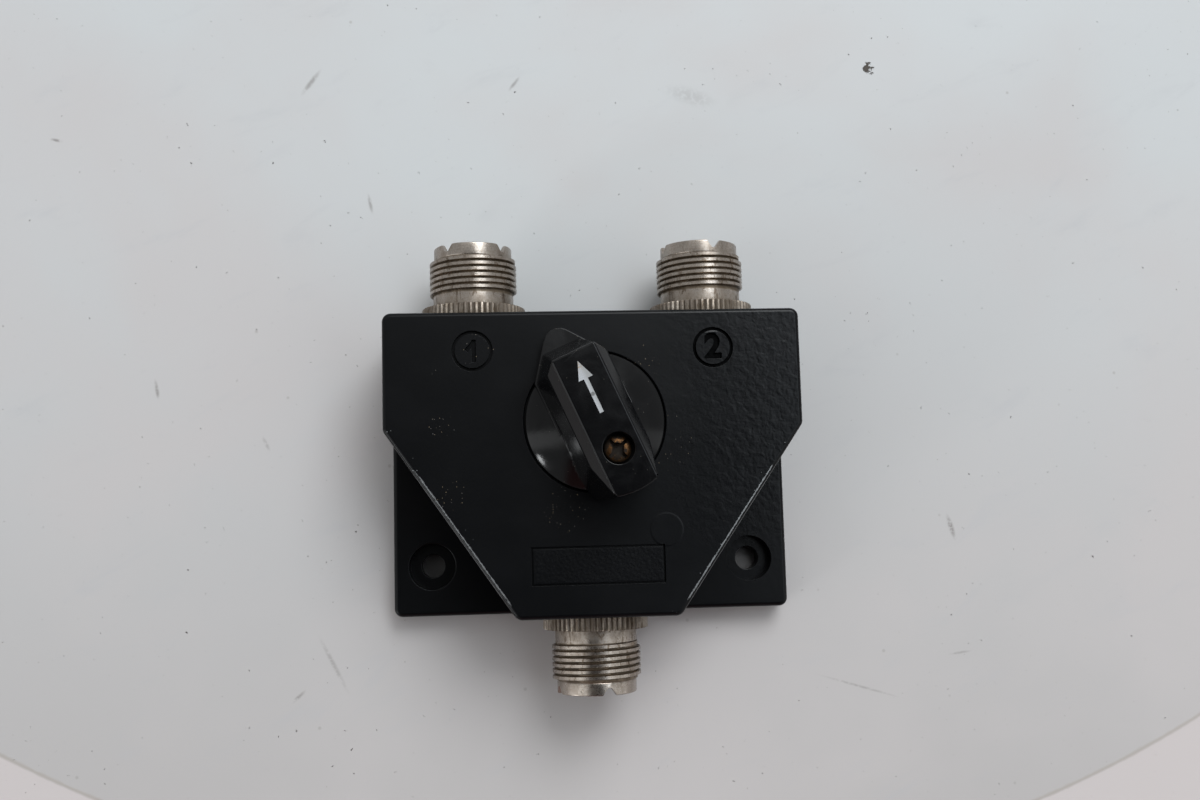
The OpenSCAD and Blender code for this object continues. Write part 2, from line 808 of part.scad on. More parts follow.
module detent_spring() {
    inner_r = nose_r - spring_t;
    color([0.72, 0.72, 0.7]) at_pivot(spring_z) difference() {
        linear_extrude(spring_w) difference() {
            union() {
                translate([-spring_back, -nose_y - spring_t])
                    square([spring_back + spring_front, spring_t]);
                translate([0, -nose_y]) circle(r = nose_r);
            }
            translate([0, -nose_y]) circle(r = inner_r);
            translate([-inner_r, -nose_y - nose_r - over]) square([2 * inner_r, nose_r + over]);
            translate([-nose_r - over, -nose_y - nose_r - over])
                square([2 * nose_r + 2 * over, nose_r + over - spring_t]);
        }
        translate([post_w / 2 - spring_back, over - nose_y, spring_w / 2]) rotate([90, 0, 0])
            cylinder(d = detent_screw_d + 2 * fixed_gap, h = spring_t + 2 * over);
    }
}

module detent_spring_screw() {
    head_y = -nose_y - spring_t - detent_head_h;
    color([0.6, 0.6, 0.58]) at_pivot(spring_z + spring_w / 2)
        translate([post_w / 2 - spring_back, head_y, 0]) rotate([90, 0, 0])
            pan_screw(detent_screw_d, detent_head_d, detent_head_h,
                spring_t + detent_screw_l - 0.2);
}

// Knob

// Edge of a face that is w wide between y = 0 and its tail, which bows out
function bowed_tail(w, y) =
    [for (k = [1:-0.25:-1]) [k * w / 2, y - tail_bow * (1 - k * k)]];

module knob_slice(points, z) {
    translate([0, 0, z - eps]) linear_extrude(eps) polygon(points);
}

module knob_grip() {
    side_x = grip_w / 2 + chamfer_w;
    foot_x = foot_w / 2;
    hull() {
        knob_slice(concat([[-grip_w / 2, grip_front], [grip_w / 2, grip_front]],
            bowed_tail(grip_w, -grip_tail)), knob_top_z);
        knob_slice([[-side_x, chamfer_front], [side_x, chamfer_front],
            [side_x, -chamfer_tail], [-side_x, -chamfer_tail]], knob_top_z - chamfer_h);
        knob_slice(concat([[-foot_x, shoulder_front], [-grip_w / 2, crease_y],
            [grip_w / 2, crease_y], [foot_x, shoulder_front], [foot_x - foot_in, -foot_tail]],
            bowed_tail(foot_w - 3, -grip_tail), [[foot_in - foot_x, -foot_tail]]), foot_z + eps);
    }
}

module knob_nose() {
    hull() {
        translate([0, nose_reach - nose_tip_r, foot_z])
            cylinder(r = nose_tip_r, h = body_h + nose_h - foot_z, $fn = hull_fn);
        translate([-foot_w / 2, 0, foot_z])
            cube([foot_w, shoulder_front, body_h + nose_h - foot_z]);
    }
}

module knob_skirt() {
    dome_top = body_h + skirt_edge + dome_h;
    intersection() {
        translate([0, 0, skirt_z]) cylinder(d = skirt_d, h = dome_top - skirt_z);
        union() {
            translate([0, 0, dome_top - dome_r]) sphere(r = dome_r);
            translate([0, 0, skirt_z]) cylinder(d = skirt_d, h = body_h + skirt_edge - skirt_z);
        }
    }
}

module arrow(h) {
    linear_extrude(h) {
        polygon([[0, arrow_tip], [-arrow_head_w / 2, arrow_tip - arrow_head_l],
            [arrow_head_w / 2, arrow_tip - arrow_head_l]]);
        translate([-arrow_shaft_w / 2, arrow_tip - arrow_l])
            square([arrow_shaft_w, arrow_l - arrow_head_l + eps]);
    }
}

module knob() {
    color([0.05, 0.05, 0.055]) at_selector() difference() {
        union() {
            knob_skirt();
            knob_grip();
            knob_nose();
        }
        translate([0, 0, skirt_z - over])
            cylinder(d = head_d + 2 * face_gap, h = pocket_top_z - skirt_z + over);
        translate([0, -knob_screw_r, skirt_z])
            cylinder(d = knob_screw_d + 2 * face_gap, h = knob_h);
        translate([0, -knob_screw_r, screw_seat_z])
            cylinder(d = screw_recess_d, h = knob_h);
        translate([0, 0, knob_top_z - arrow_depth]) arrow(arrow_depth + over);
    }
}

module pointer_arrow() {
    color([0.95, 0.94, 0.9]) at_selector(knob_top_z - arrow_depth) arrow(arrow_depth);
}

module knob_screw() {
    color([0.62, 0.42, 0.25]) at_selector(screw_seat_z + screw_head_h)
        translate([0, -knob_screw_r, 0]) rotate([0, 0, 30])
            pan_screw(knob_screw_d, screw_head_d, screw_head_h, knob_screw_l);
}

housing();
back_cover();
back_cover_screws();
output_1_connector_shell();
output_2_connector_shell();
common_connector_shell();
output_1_insulator();
output_2_insulator();
common_insulator();
output_1_centre_contact();
output_2_centre_contact();
common_centre_contact();
connector_lock_washers();
connector_lock_nuts();
output_1_contact_strip();
output_2_contact_strip();
common_contact_strip();
detent_spring();
detent_spring_screw();
knob();
pointer_arrow();
knob_screw();
rotor();
thrust_washer();
detent_cam();
retaining_ring();
upper_contact_blade();
lower_contact_blade();
blade_spacer_rivet();
pivot_rivet();
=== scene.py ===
import math

import bpy
from mathutils import Matrix, Vector


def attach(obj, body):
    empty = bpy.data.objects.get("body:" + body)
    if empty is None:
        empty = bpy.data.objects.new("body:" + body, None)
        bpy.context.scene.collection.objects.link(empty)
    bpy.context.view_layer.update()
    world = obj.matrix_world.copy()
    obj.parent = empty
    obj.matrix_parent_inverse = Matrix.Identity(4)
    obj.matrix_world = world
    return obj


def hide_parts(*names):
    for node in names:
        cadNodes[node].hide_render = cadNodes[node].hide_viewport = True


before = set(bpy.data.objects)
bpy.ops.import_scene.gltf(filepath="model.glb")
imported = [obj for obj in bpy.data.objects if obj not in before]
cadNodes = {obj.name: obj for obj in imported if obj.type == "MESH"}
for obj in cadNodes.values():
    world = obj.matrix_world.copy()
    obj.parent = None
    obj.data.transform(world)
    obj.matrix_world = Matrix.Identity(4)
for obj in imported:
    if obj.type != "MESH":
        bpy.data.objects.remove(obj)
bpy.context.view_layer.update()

mm = 0.001
print("frame loaded:", len(cadNodes), "nodes")


# tools for pieces, with sizes and places in millimetres and angles in degrees

def clearAll():
    if bpy.context.object and bpy.context.object.mode == "EDIT":
        bpy.ops.object.mode_set(mode="OBJECT")
    bpy.ops.object.select_all(action="DESELECT")


def hold(piece):  # the only selected piece, and the active one
    clearAll()
    piece.select_set(True)
    bpy.context.view_layer.objects.active = piece


def settle(piece, name=None):  # its place goes into its mesh
    hold(piece)
    bpy.ops.object.transform_apply(location=True, rotation=True, scale=True)
    if name:
        piece.name = name
        piece.data.name = name
    return piece


def block(name, low, high):
    clearAll()
    bpy.ops.mesh.primitive_cube_add(size=1, location=[(a + b) / 2 * mm for a, b in zip(low, high)],
                                    scale=[(b - a) * mm for a, b in zip(low, high)])
    return settle(bpy.context.object, name)


def drum(name, radius, low, high, x=0, y=0, sides=96):
    clearAll()
    bpy.ops.mesh.primitive_cylinder_add(vertices=sides, radius=radius * mm, depth=(high - low) * mm,
                                        location=(x * mm, y * mm, (low + high) / 2 * mm))
    return settle(bpy.context.object, name)


def editAll():
    bpy.ops.object.mode_set(mode="EDIT")
    bpy.ops.mesh.select_all(action="SELECT")


def release():
    bpy.ops.object.mode_set(mode="OBJECT")


def pick(piece, kind, test):  # leaves the piece in edit mode with what passes the test selected
    hold(piece)
    bpy.ops.object.mode_set(mode="EDIT")
    bpy.ops.mesh.select_mode(type=kind)
    bpy.ops.mesh.select_all(action="DESELECT")
    release()
    points = piece.data.vertices
    if kind == "EDGE":
        for edge in piece.data.edges:
            edge.select = bool(test(*(points[i].co / mm for i in edge.vertices)))
    else:
        for point in points:
            point.select = bool(test(point.co / mm))
    bpy.ops.object.mode_set(mode="EDIT")


def roundEdges(piece, test, size, steps=3):
    pick(piece, "EDGE", test)
    if piece.data.total_edge_sel:
        bpy.ops.mesh.bevel(offset=size * mm, segments=steps, affect="EDGES", clamp_overlap=True)
    release()


def trim(piece, point, normal):  # cuts off what lies on the normal's side of a plane
    hold(piece)
    editAll()
    bpy.ops.mesh.bisect(plane_co=[v * mm for v in point], plane_no=Vector(normal).normalized(),
                        use_fill=True, clear_outer=True)
    release()


def carve(piece, tool, how="DIFFERENCE"):
    hold(piece)
    cut = piece.modifiers.new("cut", "BOOLEAN")
    cut.operation = how
    cut.solver = "EXACT"
    cut.object = tool
    bpy.ops.object.modifier_apply(modifier=cut.name)
    bpy.data.objects.remove(tool)
    return piece


def fuse(piece, *others):
    for other in others:
        carve(piece, other, "UNION")
    return piece


def twin(piece, name):  # a copy with its own mesh
    made = piece.copy()
    made.data = piece.data.copy()
    made.name = made.data.name = name
    bpy.context.scene.collection.objects.link(made)
    return made


def shift(x, y, z=0):
    return Matrix.Translation(Vector((x, y, z)) * mm)


def spin(angle, axis="Z"):
    return Matrix.Rotation(math.radians(angle), 4, axis)


def move(piece, matrix):
    piece.matrix_world = matrix @ piece.matrix_world
    bpy.context.view_layer.update()
    return settle(piece)


def turned(name, outline, sides=96):  # spins an outline of (radius, height) points round Z
    clearAll()
    bpy.ops.mesh.primitive_circle_add(vertices=3, radius=mm)
    piece = bpy.context.object
    bpy.ops.object.mode_set(mode="EDIT")
    bpy.ops.mesh.select_mode(type="VERT")
    bpy.ops.mesh.select_all(action="SELECT")
    bpy.ops.mesh.merge(type="CENTER")
    here = Vector((outline[0][0], 0, outline[0][1])) * mm
    bpy.ops.transform.translate(value=here)
    for radius, height in outline[1:]:
        there = Vector((radius, 0, height)) * mm
        bpy.ops.mesh.extrude_region_move(TRANSFORM_OT_translate={"value": there - here})
        here = there
    bpy.ops.mesh.select_all(action="SELECT")
    bpy.ops.mesh.spin(steps=sides, angle=2 * math.pi, center=(0, 0, 0), axis=(0, 0, 1))
    bpy.ops.mesh.select_all(action="SELECT")
    bpy.ops.mesh.remove_doubles(threshold=0.0005 * mm)
    bpy.ops.mesh.normals_make_consistent(inside=False)
    release()
    return settle(piece, name)


def upright(a, b):
    return abs(a.x - b.x) < 0.01 and abs(a.y - b.y) < 0.01


def level(a, b, height):
    return abs(a.z - height) < 0.01 and abs(b.z - height) < 0.01


def onCircle(a, b, x, y, radius, height):
    fromRing = [abs(math.hypot(p.x - x, p.y - y) - radius) for p in (a, b)]
    return level(a, b, height) and max(fromRing) < 0.02


def dress(piece, material):
    piece.data.materials.clear()
    piece.data.materials.append(material)


def finishPiece(piece, body, nodes, material):
    hold(piece)
    bpy.ops.object.shade_smooth_by_angle(angle=math.radians(32))
    # broad flat faces keep their own normal beside a small bevel
    weigh = piece.modifiers.new("weigh", "WEIGHTED_NORMAL")
    weigh.keep_sharp = True
    weigh.weight = 100
    bpy.ops.object.modifier_apply(modifier=weigh.name)
    dress(piece, material)
    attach(piece, body)
    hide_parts(*nodes)
    print("made", piece.name, len(piece.data.polygons), "faces")


# tools for materials

def newMaterial(name, colour, roughness, metallic=0.0, gloss=0.5):
    made = bpy.data.materials.new(name)
    made.use_nodes = True
    shader = made.node_tree.nodes["Principled BSDF"]
    shader.inputs["Base Color"].default_value = (*colour, 1)
    shader.inputs["Roughness"].default_value = roughness
    shader.inputs["Metallic"].default_value = metallic
    shader.inputs["Specular IOR Level"].default_value = gloss
    return made, made.node_tree, shader


def node(tree, kind, inputs=None, **settings):
    made = tree.nodes.new("ShaderNode" + kind)
    for key, value in settings.items():
        setattr(made, key, value)
    for key, value in (inputs or {}).items():
        if isinstance(value, bpy.types.NodeSocket):
            tree.links.new(value, made.inputs[key])
        else:
            made.inputs[key].default_value = value
    return made


def feed(tree, shader, sockets):
    for name, value in sockets.items():
        tree.links.new(value, shader.inputs[name])


def calc(tree, how, a, b=0.0):
    return node(tree, "Math", {0: a, 1: b}, operation=how).outputs[0]


def chain(tree, how, values):
    result = values[0]
    for value in values[1:]:
        result = calc(tree, how, result, value)
    return result


def times(tree, *values):  # of masks: where all of them hold
    return chain(tree, "MULTIPLY", values)


def either(tree, *values):  # of masks: where any of them holds
    return chain(tree, "MAXIMUM", values)


def plus(tree, *values):
    return chain(tree, "ADD", values)


def minus(tree, a, b):
    return calc(tree, "SUBTRACT", a, b)


def absolute(tree, value):
    return calc(tree, "ABSOLUTE", value)


def parts(tree, vector):
    return node(tree, "SeparateXYZ", {0: vector}).outputs


def fromAxis(tree, x, y):
    return calc(tree, "SQRT", plus(tree, times(tree, x, x), times(tree, y, y)))


def ramp(tree, value, low, high, toLow=0.0, toHigh=1.0):
    return node(tree, "MapRange", {0: value, 1: low, 2: high, 3: toLow, 4: toHigh},
                interpolation_type="SMOOTHSTEP").outputs[0]


def fade(tree, value, low, high, toLow=0.0, toHigh=1.0):  # a ramp between places in millimetres
    return ramp(tree, value, low * mm, high * mm, toLow, toHigh)


def tint(tree, factor, a, b, how="MIX"):
    a, b = ((*v, 1) if isinstance(v, tuple) else v for v in (a, b))
    return node(tree, "Mix", {0: factor, 6: a, 7: b}, data_type="RGBA", blend_type=how).outputs[2]


def dimmed(colour, share):
    return tuple(v * share for v in colour)


def objectCoords(tree, centre=(0, 0, 0), turn=0.0, stretch=(1, 1, 1)):
    where = node(tree, "TexCoord").outputs["Object"]
    if centre == (0, 0, 0) and turn == 0 and stretch == (1, 1, 1):
        return where
    # the Texture kind takes the centre away, turns back, and divides by the scale
    return node(tree, "Mapping", {"Vector": where, "Location": [v * mm for v in centre],
                                  "Rotation": (0, 0, math.radians(turn)),
                                  "Scale": [1 / v for v in stretch]}, vector_type="TEXTURE").outputs[0]


def noise(tree, where, perMm, detail, rough, warp=0.0):
    return node(tree, "TexNoise", {"Vector": where, "Scale": perMm / mm, "Detail": detail,
                                   "Roughness": rough, "Distortion": warp}).outputs[0]


def cells(tree, where, perMm, feature="F1"):  # the distance in each cell, and its random colour
    made = node(tree, "TexVoronoi", {"Vector": where, "Scale": perMm / mm}, feature=feature)
    return made.outputs["Distance"], made.outputs["Color"]


def lots(tree, colour):
    return node(tree, "SeparateColor", {0: colour}).outputs


def distance(tree, where, centre):
    there = [v * mm for v in centre]
    return node(tree, "VectorMath", {0: where, 1: there}, operation="DISTANCE").outputs["Value"]


def spot(tree, where, centre, radius, soft=0.4):  # 1 within the radius of a place, 0 outside
    return fade(tree, distance(tree, where, centre), radius, radius * (1 - soft))


def bumps(tree, shader, height, depthMm):
    made = node(tree, "Bump", {"Height": height, "Distance": depthMm * mm})
    tree.links.new(made.outputs[0], shader.inputs["Normal"])


# housing

housing = {
    "width": 73, "length": 53.2, "height": 24.4, "toe": 28, "shoulder": 20.5,
    "wall": 2.6, "front": 3, "corner": 1.5, "edge": 0.8, "shoulderRound": 0.47, "toeRound": 0.79,
    "earThick": 5.8, "earX": 29.45, "earY": -17.55, "earHole": 2.15, "earHoleRound": 0.15,
    "earSink": 4.2, "earSinkDepth": 2.6, "earSinkRound": 0.3,
    "knobY": 7.1, "knobRecess": 12.3, "recessDepth": 1.5, "recessRound": 0.22, "shaftHole": 4.55,
    "outputX": 21, "socketZ": 11.4, "socketHole": 6.56,
    "markY": 19.7, "markRadius": 3.55, "markLine": 0.55, "markDepth": 0.6, "markRound": 0.12,
    "labelY": -17.6, "labelWidth": 23, "labelHeight": 6.6, "frameLine": 0.36,
    "digitSize": 5.9, "digitWeight": 0.24,
    "coverDepth": 1.9, "coverRim": 1.3,
    # inside: bosses for the cover's screws, the bearing, and from the knob's axis the stop and post
    "bosses": ((31.0, 14.0), (18.74, -10.0)), "bossRadius": 3.2, "pilotRadius": 1.52, "pilotEnd": 9.9,
    "bearingRadius": 9.5, "bearingLow": 16.42,
    "stopY": 6.5, "stopRadius": 1, "stopLow": 14.72,
    "postX": (-14.5, -9.5), "postY": (-9.5, -5.5), "postLow": 13.32,
}

paint = {
    "colour": (0.0016, 0.0019, 0.0024), "haze": (0.0021, 0.0024, 0.0030), "gloss": 0.17,
    # the cut marks' colour and shares paint shade into the bottoms of the cuts
    "markShadeColour": (0.0006, 0.0006, 0.0006), "cutGloss": 0.02, "markShadeShare": (0.4, 0.85),
    # the first colour here is worn paint and painted highlight on the slanted edges
    "wearAndHighlight": (0.22, 0.23, 0.235), "greyDust": (0.13, 0.13, 0.13), "brownDust": (0.27, 0.21, 0.13),
    "peelMm": 1.25, "peelDepthMm": 0.06, "stipple": 0.4,
    "edgeLine": 0.62, "footLine": 0.08,
    # a faint round mark in the paint: place, radius and height
    "roundMark": ((11.9, -11.8, 24.4), 3.0, 0.35),
    # where dust gathers on the top: x, y, radius and share
    "dusty": ((-26.4, 6.6, 2.8, 1), (-24.6, -5.4, 3.4, 1), (-5.5, -8.4, 5, 0.75),
              (-20.8, 19.7, 4.2, 0.6), (-27.7, 15.8, 0.9, 1), (12.5, 3.0, 7, 0.4), (8.5, 16.5, 5, 0.6)),
}


def slantedSide():  # the right one's outward normal, and its distance from the middle
    h = housing
    out = Vector((h["length"] - h["shoulder"], (h["toe"] - h["width"]) / 2, 0)).normalized()
    return out, (out.x * h["toe"] - out.y * h["length"]) / 2


def housingPaint():
    h, p, top = housing, paint, housing["height"]
    material, tree, shader = newMaterial("blackPaint", p["colour"], 0.3, gloss=p["gloss"])
    where = objectCoords(tree)
    x, y, z = parts(tree, where)
    side = absolute(tree, x)
    onTop = fade(tree, z, top - 0.4, top - 0.3)

    # orange peel, strongest on the right
    peel = noise(tree, where, 1 / p["peelMm"], 1.5, 0.55, 0.3)
    rightSide = times(tree, fade(tree, x, 6, 30, 0.10, 1.0), fade(tree, y, -20, -4, 0.25, 1.0))
    fine = noise(tree, where, 3.2, 3, 0.6)
    height = plus(tree, times(tree, peel, rightSide), times(tree, fine, 0.12))

    # a stippled field inside the frame
    fromLabel = absolute(tree, minus(tree, y, h["labelY"] * mm))
    inField = times(tree, fade(tree, side, 11.3, 10.8), fade(tree, fromLabel, 3.0, 2.6), onTop)
    stipple = cells(tree, where, 1.9, "SMOOTH_F1")[0]
    place, radius, raised = p["roundMark"]
    height = plus(tree, height, times(tree, stipple, p["stipple"], inField),
                  times(tree, spot(tree, where, place, radius, 0.12), raised))
    bumps(tree, shader, height, p["peelDepthMm"])

    # worn paint and a painted highlight along the slanted edges, in two broken pale lines
    out, reach = slantedSide()
    across = minus(tree, reach * mm, plus(tree, times(tree, side, out.x), times(tree, y, out.y)))
    ragged = noise(tree, where, 2.4, 3, 0.65)
    patches = noise(tree, where, 0.5, 2, 0.5)
    nearTop = fade(tree, z, top - 1.0, top - 0.6)
    lasting = times(tree, fade(tree, y, 3, -6), fade(tree, y, -26.2, -21.5))
    kept = plus(tree, lasting, times(tree, minus(tree, patches, 0.5), 1.6))
    fromLine = absolute(tree, minus(tree, across, p["edgeLine"] * mm))
    line = calc(tree, "LESS_THAN", fromLine, ramp(tree, ragged, 0.3, 0.7, 0.04 * mm, 0.17 * mm))
    line = times(tree, line, nearTop, ramp(tree, kept, 0.42, 0.62))
    fromLine = absolute(tree, minus(tree, across, p["footLine"] * mm))
    lower = times(tree, calc(tree, "LESS_THAN", fromLine, 0.09 * mm),
                  fade(tree, z, top - 1.6, top - 1.1), ramp(tree, kept, 0.3, 0.9, 0.0, 0.35))

    # chips beside those edges
    chips, drawn = cells(tree, where, 1.6)
    chip = times(tree, ramp(tree, chips, 0.17, 0.10), ramp(tree, lots(tree, drawn)[0], 0.86, 0.88),
                 fade(tree, across, 2.2, 0.8), nearTop)
    edgeWearAndHighlight = either(tree, line, lower, chip)

    # small specks of dust, most in a few places
    grains, drawn = cells(tree, where, 3.3)
    chance, hue = lots(tree, drawn)[:2]
    dusty = [times(tree, spot(tree, where, (px, py, top), radius), share)
             for px, py, radius, share in p["dusty"]]
    often = minus(tree, 1.02, times(tree, either(tree, *dusty, 0.10), 0.24))
    speck = times(tree, ramp(tree, grains, 0.26, 0.14),
                  ramp(tree, chance, often, plus(tree, often, 0.02)), onTop)

    # painted shade: the bottoms of the cut digits and rings are painted darker and given less gloss
    shadedMarks = []
    for px, share in zip((-h["outputX"], h["outputX"]), p["markShadeShare"]):
        place = (px, h["markY"], top - h["markDepth"])
        shadedMarks.append(times(tree, spot(tree, where, place, 4, 0.1), share))
    markShade = times(tree, either(tree, *shadedMarks), fade(tree, z, top - 0.15, top - 0.35))

    smudge = noise(tree, objectCoords(tree, stretch=(1, 1.4, 1)), 0.07, 3, 0.5)
    colour = tint(tree, ramp(tree, smudge, 0.35, 0.75), p["colour"], p["haze"])
    colour = tint(tree, speck, colour, tint(tree, hue, p["greyDust"], p["brownDust"]))
    # the edge lines and chips: worn paint, with painted highlight on the bevels
    colour = tint(tree, edgeWearAndHighlight, colour, p["wearAndHighlight"])
    # painted shade in the cut marks
    colour = tint(tree, markShade, colour, p["markShadeColour"])
    rough = minus(tree, ramp(tree, smudge, 0.3, 0.8, 0.29, 0.33), times(tree, rightSide, 0.07))
    feed(tree, shader, {"Base Color": colour, "Metallic": times(tree, edgeWearAndHighlight, 0.5),
                        "Roughness": plus(tree, rough, times(tree, speck, 0.3)),
                        "Specular IOR Level": ramp(tree, markShade, 0, 1, p["gloss"], p["cutGloss"])})
    return material


def slantedBlock(name, inset, low, high):  # the body's plan, drawn in by the inset
    halfWidth, halfLength, toe = housing["width"] / 2, housing["length"] / 2, housing["toe"] / 2
    made = block(name, (inset - halfWidth, inset - halfLength, low),
                 (halfWidth - inset, halfLength - inset, high))
    out = slantedSide()[0]
    for side in (-1, 1):
        normal = Vector((side * out.x, out.y, 0))
        trim(made, Vector((side * toe, -halfLength, 0)) - normal * inset, normal)
    return made


def socketPlace(x, way, inset=0):  # from a connector's own axes to its place on the housing
    return shift(x, way * (housing["length"] / 2 - inset), housing["socketZ"]) @ spin(-90 * way, "X")


def oneTool(x, y, low, high):  # an upright stroke with a slanted flag
    flag = move(block("flag", (-0.34, -2.0, low), (0.34, 0.3, high)), spin(-39))
    made = fuse(block("one", (-0.36, -1.95, low), (0.36, 1.95, high)), move(flag, shift(-0.1, 1.55)))
    return move(made, shift(x + 0.3, y))


def twoTool(x, y, low, high):
    clearAll()
    bpy.ops.object.text_add(location=(0, 0, 0))
    letter = bpy.context.object.data
    letter.body = "2"
    letter.align_x, letter.align_y = "CENTER", "CENTER"
    letter.size = housing["digitSize"] * mm
    letter.offset = housing["digitWeight"] * mm
    letter.resolution_u = 5
    letter.extrude = (high - low) / 2 * mm
    bpy.ops.object.convert(target="MESH")
    editAll()
    bpy.ops.mesh.remove_doubles(threshold=0.001 * mm)
    bpy.ops.mesh.normals_make_consistent(inside=False)
    release()
    return move(bpy.context.object, shift(x, y, (low + high) / 2))


def makeHousing():
    h = housing
    halfWidth, halfLength, toe, top = h["width"] / 2, h["length"] / 2, h["toe"] / 2, h["height"]
    shoulderY = halfLength - h["shoulder"]

    def atToe(a, b):
        return upright(a, b) and a.y < 1 - halfLength and abs(abs(a.x) - toe) < 0.1

    made = slantedBlock("housingBody", 0, 0, top)
    roundEdges(made, lambda a, b: upright(a, b) and a.y > shoulderY + 1, h["corner"], 6)
    roundEdges(made, lambda a, b: upright(a, b) and abs(a.y - shoulderY) < 0.1, h["shoulderRound"])
    roundEdges(made, atToe, h["toeRound"], 4)
    roundEdges(made, lambda a, b: level(a, b, top), h["edge"], 5)
    ears = block("ears", (-halfWidth, -halfLength, 0), (halfWidth, halfLength, h["earThick"]))
    roundEdges(ears, upright, h["corner"], 6)
    roundEdges(ears, lambda a, b: level(a, b, h["earThick"]), h["edge"], 4)
    fuse(made, ears)

    # the hollow, the cover's seat, and what stands in the hollow
    carve(made, slantedBlock("hollow", h["wall"], h["coverDepth"] - 0.01, top - h["front"]))
    carve(made, slantedBlock("lid", h["coverRim"], -1, h["coverDepth"]))
    roof = top - h["front"] + 0.01
    for x, y in h["bosses"]:
        for side in (-1, 1):
            fuse(made, drum("boss", h["bossRadius"], h["coverDepth"], roof, side * x, y, 48))
    bearing = drum("bearing", h["bearingRadius"], h["bearingLow"], roof, 0, h["knobY"])
    stop = drum("stopPin", h["stopRadius"], h["stopLow"], 16.5, 0, h["knobY"] + h["stopY"], 32)
    post = block("springPost", (h["postX"][0], h["knobY"] + h["postY"][0], h["postLow"]),
                 (h["postX"][1], h["knobY"] + h["postY"][1], roof))
    fuse(made, bearing, stop, post)

    # openings
    for x, way in ((-h["outputX"], 1), (h["outputX"], 1), (0, -1)):
        carve(made, move(drum("hole", h["socketHole"], 0, 6), socketPlace(x, way, 4)))
    carve(made, drum("recess", h["knobRecess"], top - h["recessDepth"], top + 1, 0, h["knobY"], 128))
    carve(made, drum("shaft", h["shaftHole"], 12, top, 0, h["knobY"]))
    sinkFloor = h["earThick"] - h["earSinkDepth"]
    for side in (-1, 1):
        carve(made, drum("screwHole", h["earHole"], -1, 9, side * h["earX"], h["earY"], 64))
        carve(made, drum("sink", h["earSink"], sinkFloor, 9, side * h["earX"], h["earY"], 64))
        for x, y in h["bosses"]:
            pilot = drum("pilot", h["pilotRadius"], h["coverDepth"] - 1, h["pilotEnd"], side * x, y, 32)
            carve(made, pilot)

    # soft rims round the recess and the ears' holes
    rims = [(0, h["knobY"], h["knobRecess"], top, h["recessRound"], 3)]
    for x in (-h["earX"], h["earX"]):
        rims.append((x, h["earY"], h["earSink"], h["earThick"], h["earSinkRound"], 3))
        rims.append((x, h["earY"], h["earHole"], sinkFloor, h["earHoleRound"], 2))
    for x, y, radius, height, size, steps in rims:
        roundEdges(made, lambda a, b: onCircle(a, b, x, y, radius, height), size, steps)

    # the numbers in their rings, and the frame
    low, high = top - h["markDepth"], top + 1
    for makeDigit, x in ((oneTool, -h["outputX"]), (twoTool, h["outputX"])):
        band = drum("band", h["markRadius"], low, high, x, h["markY"], 64)
        core = drum("core", h["markRadius"] - h["markLine"], low - 1, high + 1, x, h["markY"], 64)
        carve(made, carve(band, core))
        carve(made, makeDigit(x, h["markY"], low, high))
    wide, tall, line = h["labelWidth"] / 2, h["labelHeight"] / 2, h["frameLine"]
    outer = block("frame", (-wide, h["labelY"] - tall, low), (wide, h["labelY"] + tall, high))
    inner = block("panel", (line - wide, h["labelY"] - tall + line, low - 1),
                  (wide - line, h["labelY"] + tall - line, high + 1))
    carve(made, carve(outer, inner))

    def nearMark(p):
        inRing = math.hypot(abs(p.x) - h["outputX"], p.y - h["markY"]) < h["markRadius"] + 0.1
        inFrame = abs(p.x) < wide + 0.1 and abs(p.y - h["labelY"]) < tall + 0.1
        return abs(p.z - top) < 0.01 and (inRing or inFrame)

    roundEdges(made, lambda a, b: nearMark(a) and nearMark(b), h["markRound"], 2)
    finishPiece(made, "switch_body", ["housing"], housingPaint())


makeHousing()


# connectors

connector = {
    "stemEnd": -6.7, "stemRadius": 6.51, "flangeRadius": 9.4, "flangeThick": 2.5, "teeth": 60,
    "toothDepth": 0.3, "neckRadius": 7.32, "threadStart": 4.6, "threadEnd": 11.3,
    "threadRadius": 7.9375, "pitch": 1.058, "threadTurns": 6.0, "ridgeHalf": 0.5, "crestHalf": 0.26,
    "ridgeSunk": 0.15, "rimRadius": 7.1, "length": 13.8, "socketRadius": 6.2, "socketFloor": 5.0,
    "insulatorRadius": 4.83, "notchDepth": 1.4, "notchHalf": 0.32,
    # name, the solid it replaces, x, which way it points, and how far it is turned
    "places": (("output1Shell", "output_1_connector_shell", -21, 1, 50),
               ("output2Shell", "output_2_connector_shell", 21, 1, 15),
               ("commonShell", "common_connector_shell", 0, -1, -15)),
}

plating = {
    "light": (0.44, 0.395, 0.352), "shaded": (0.34, 0.296, 0.256), "flange": (0.19, 0.166, 0.142),
    "gold": (0.33, 0.245, 0.16), "darkGold": (0.18, 0.145, 0.105),
    # the two darkest colours are grime and painted shade in the connector's hollows
    "shadeAndDirt": (0.035, 0.026, 0.017), "paleShadeAndDirt": (0.15, 0.105, 0.06), "dots": (0.03, 0.025, 0.02),
    "latheTone": (0.5, 0.46, 0.42), "smearTone": (0.36, 0.30, 0.24), "fineTone": (0.60, 0.53, 0.46),
}


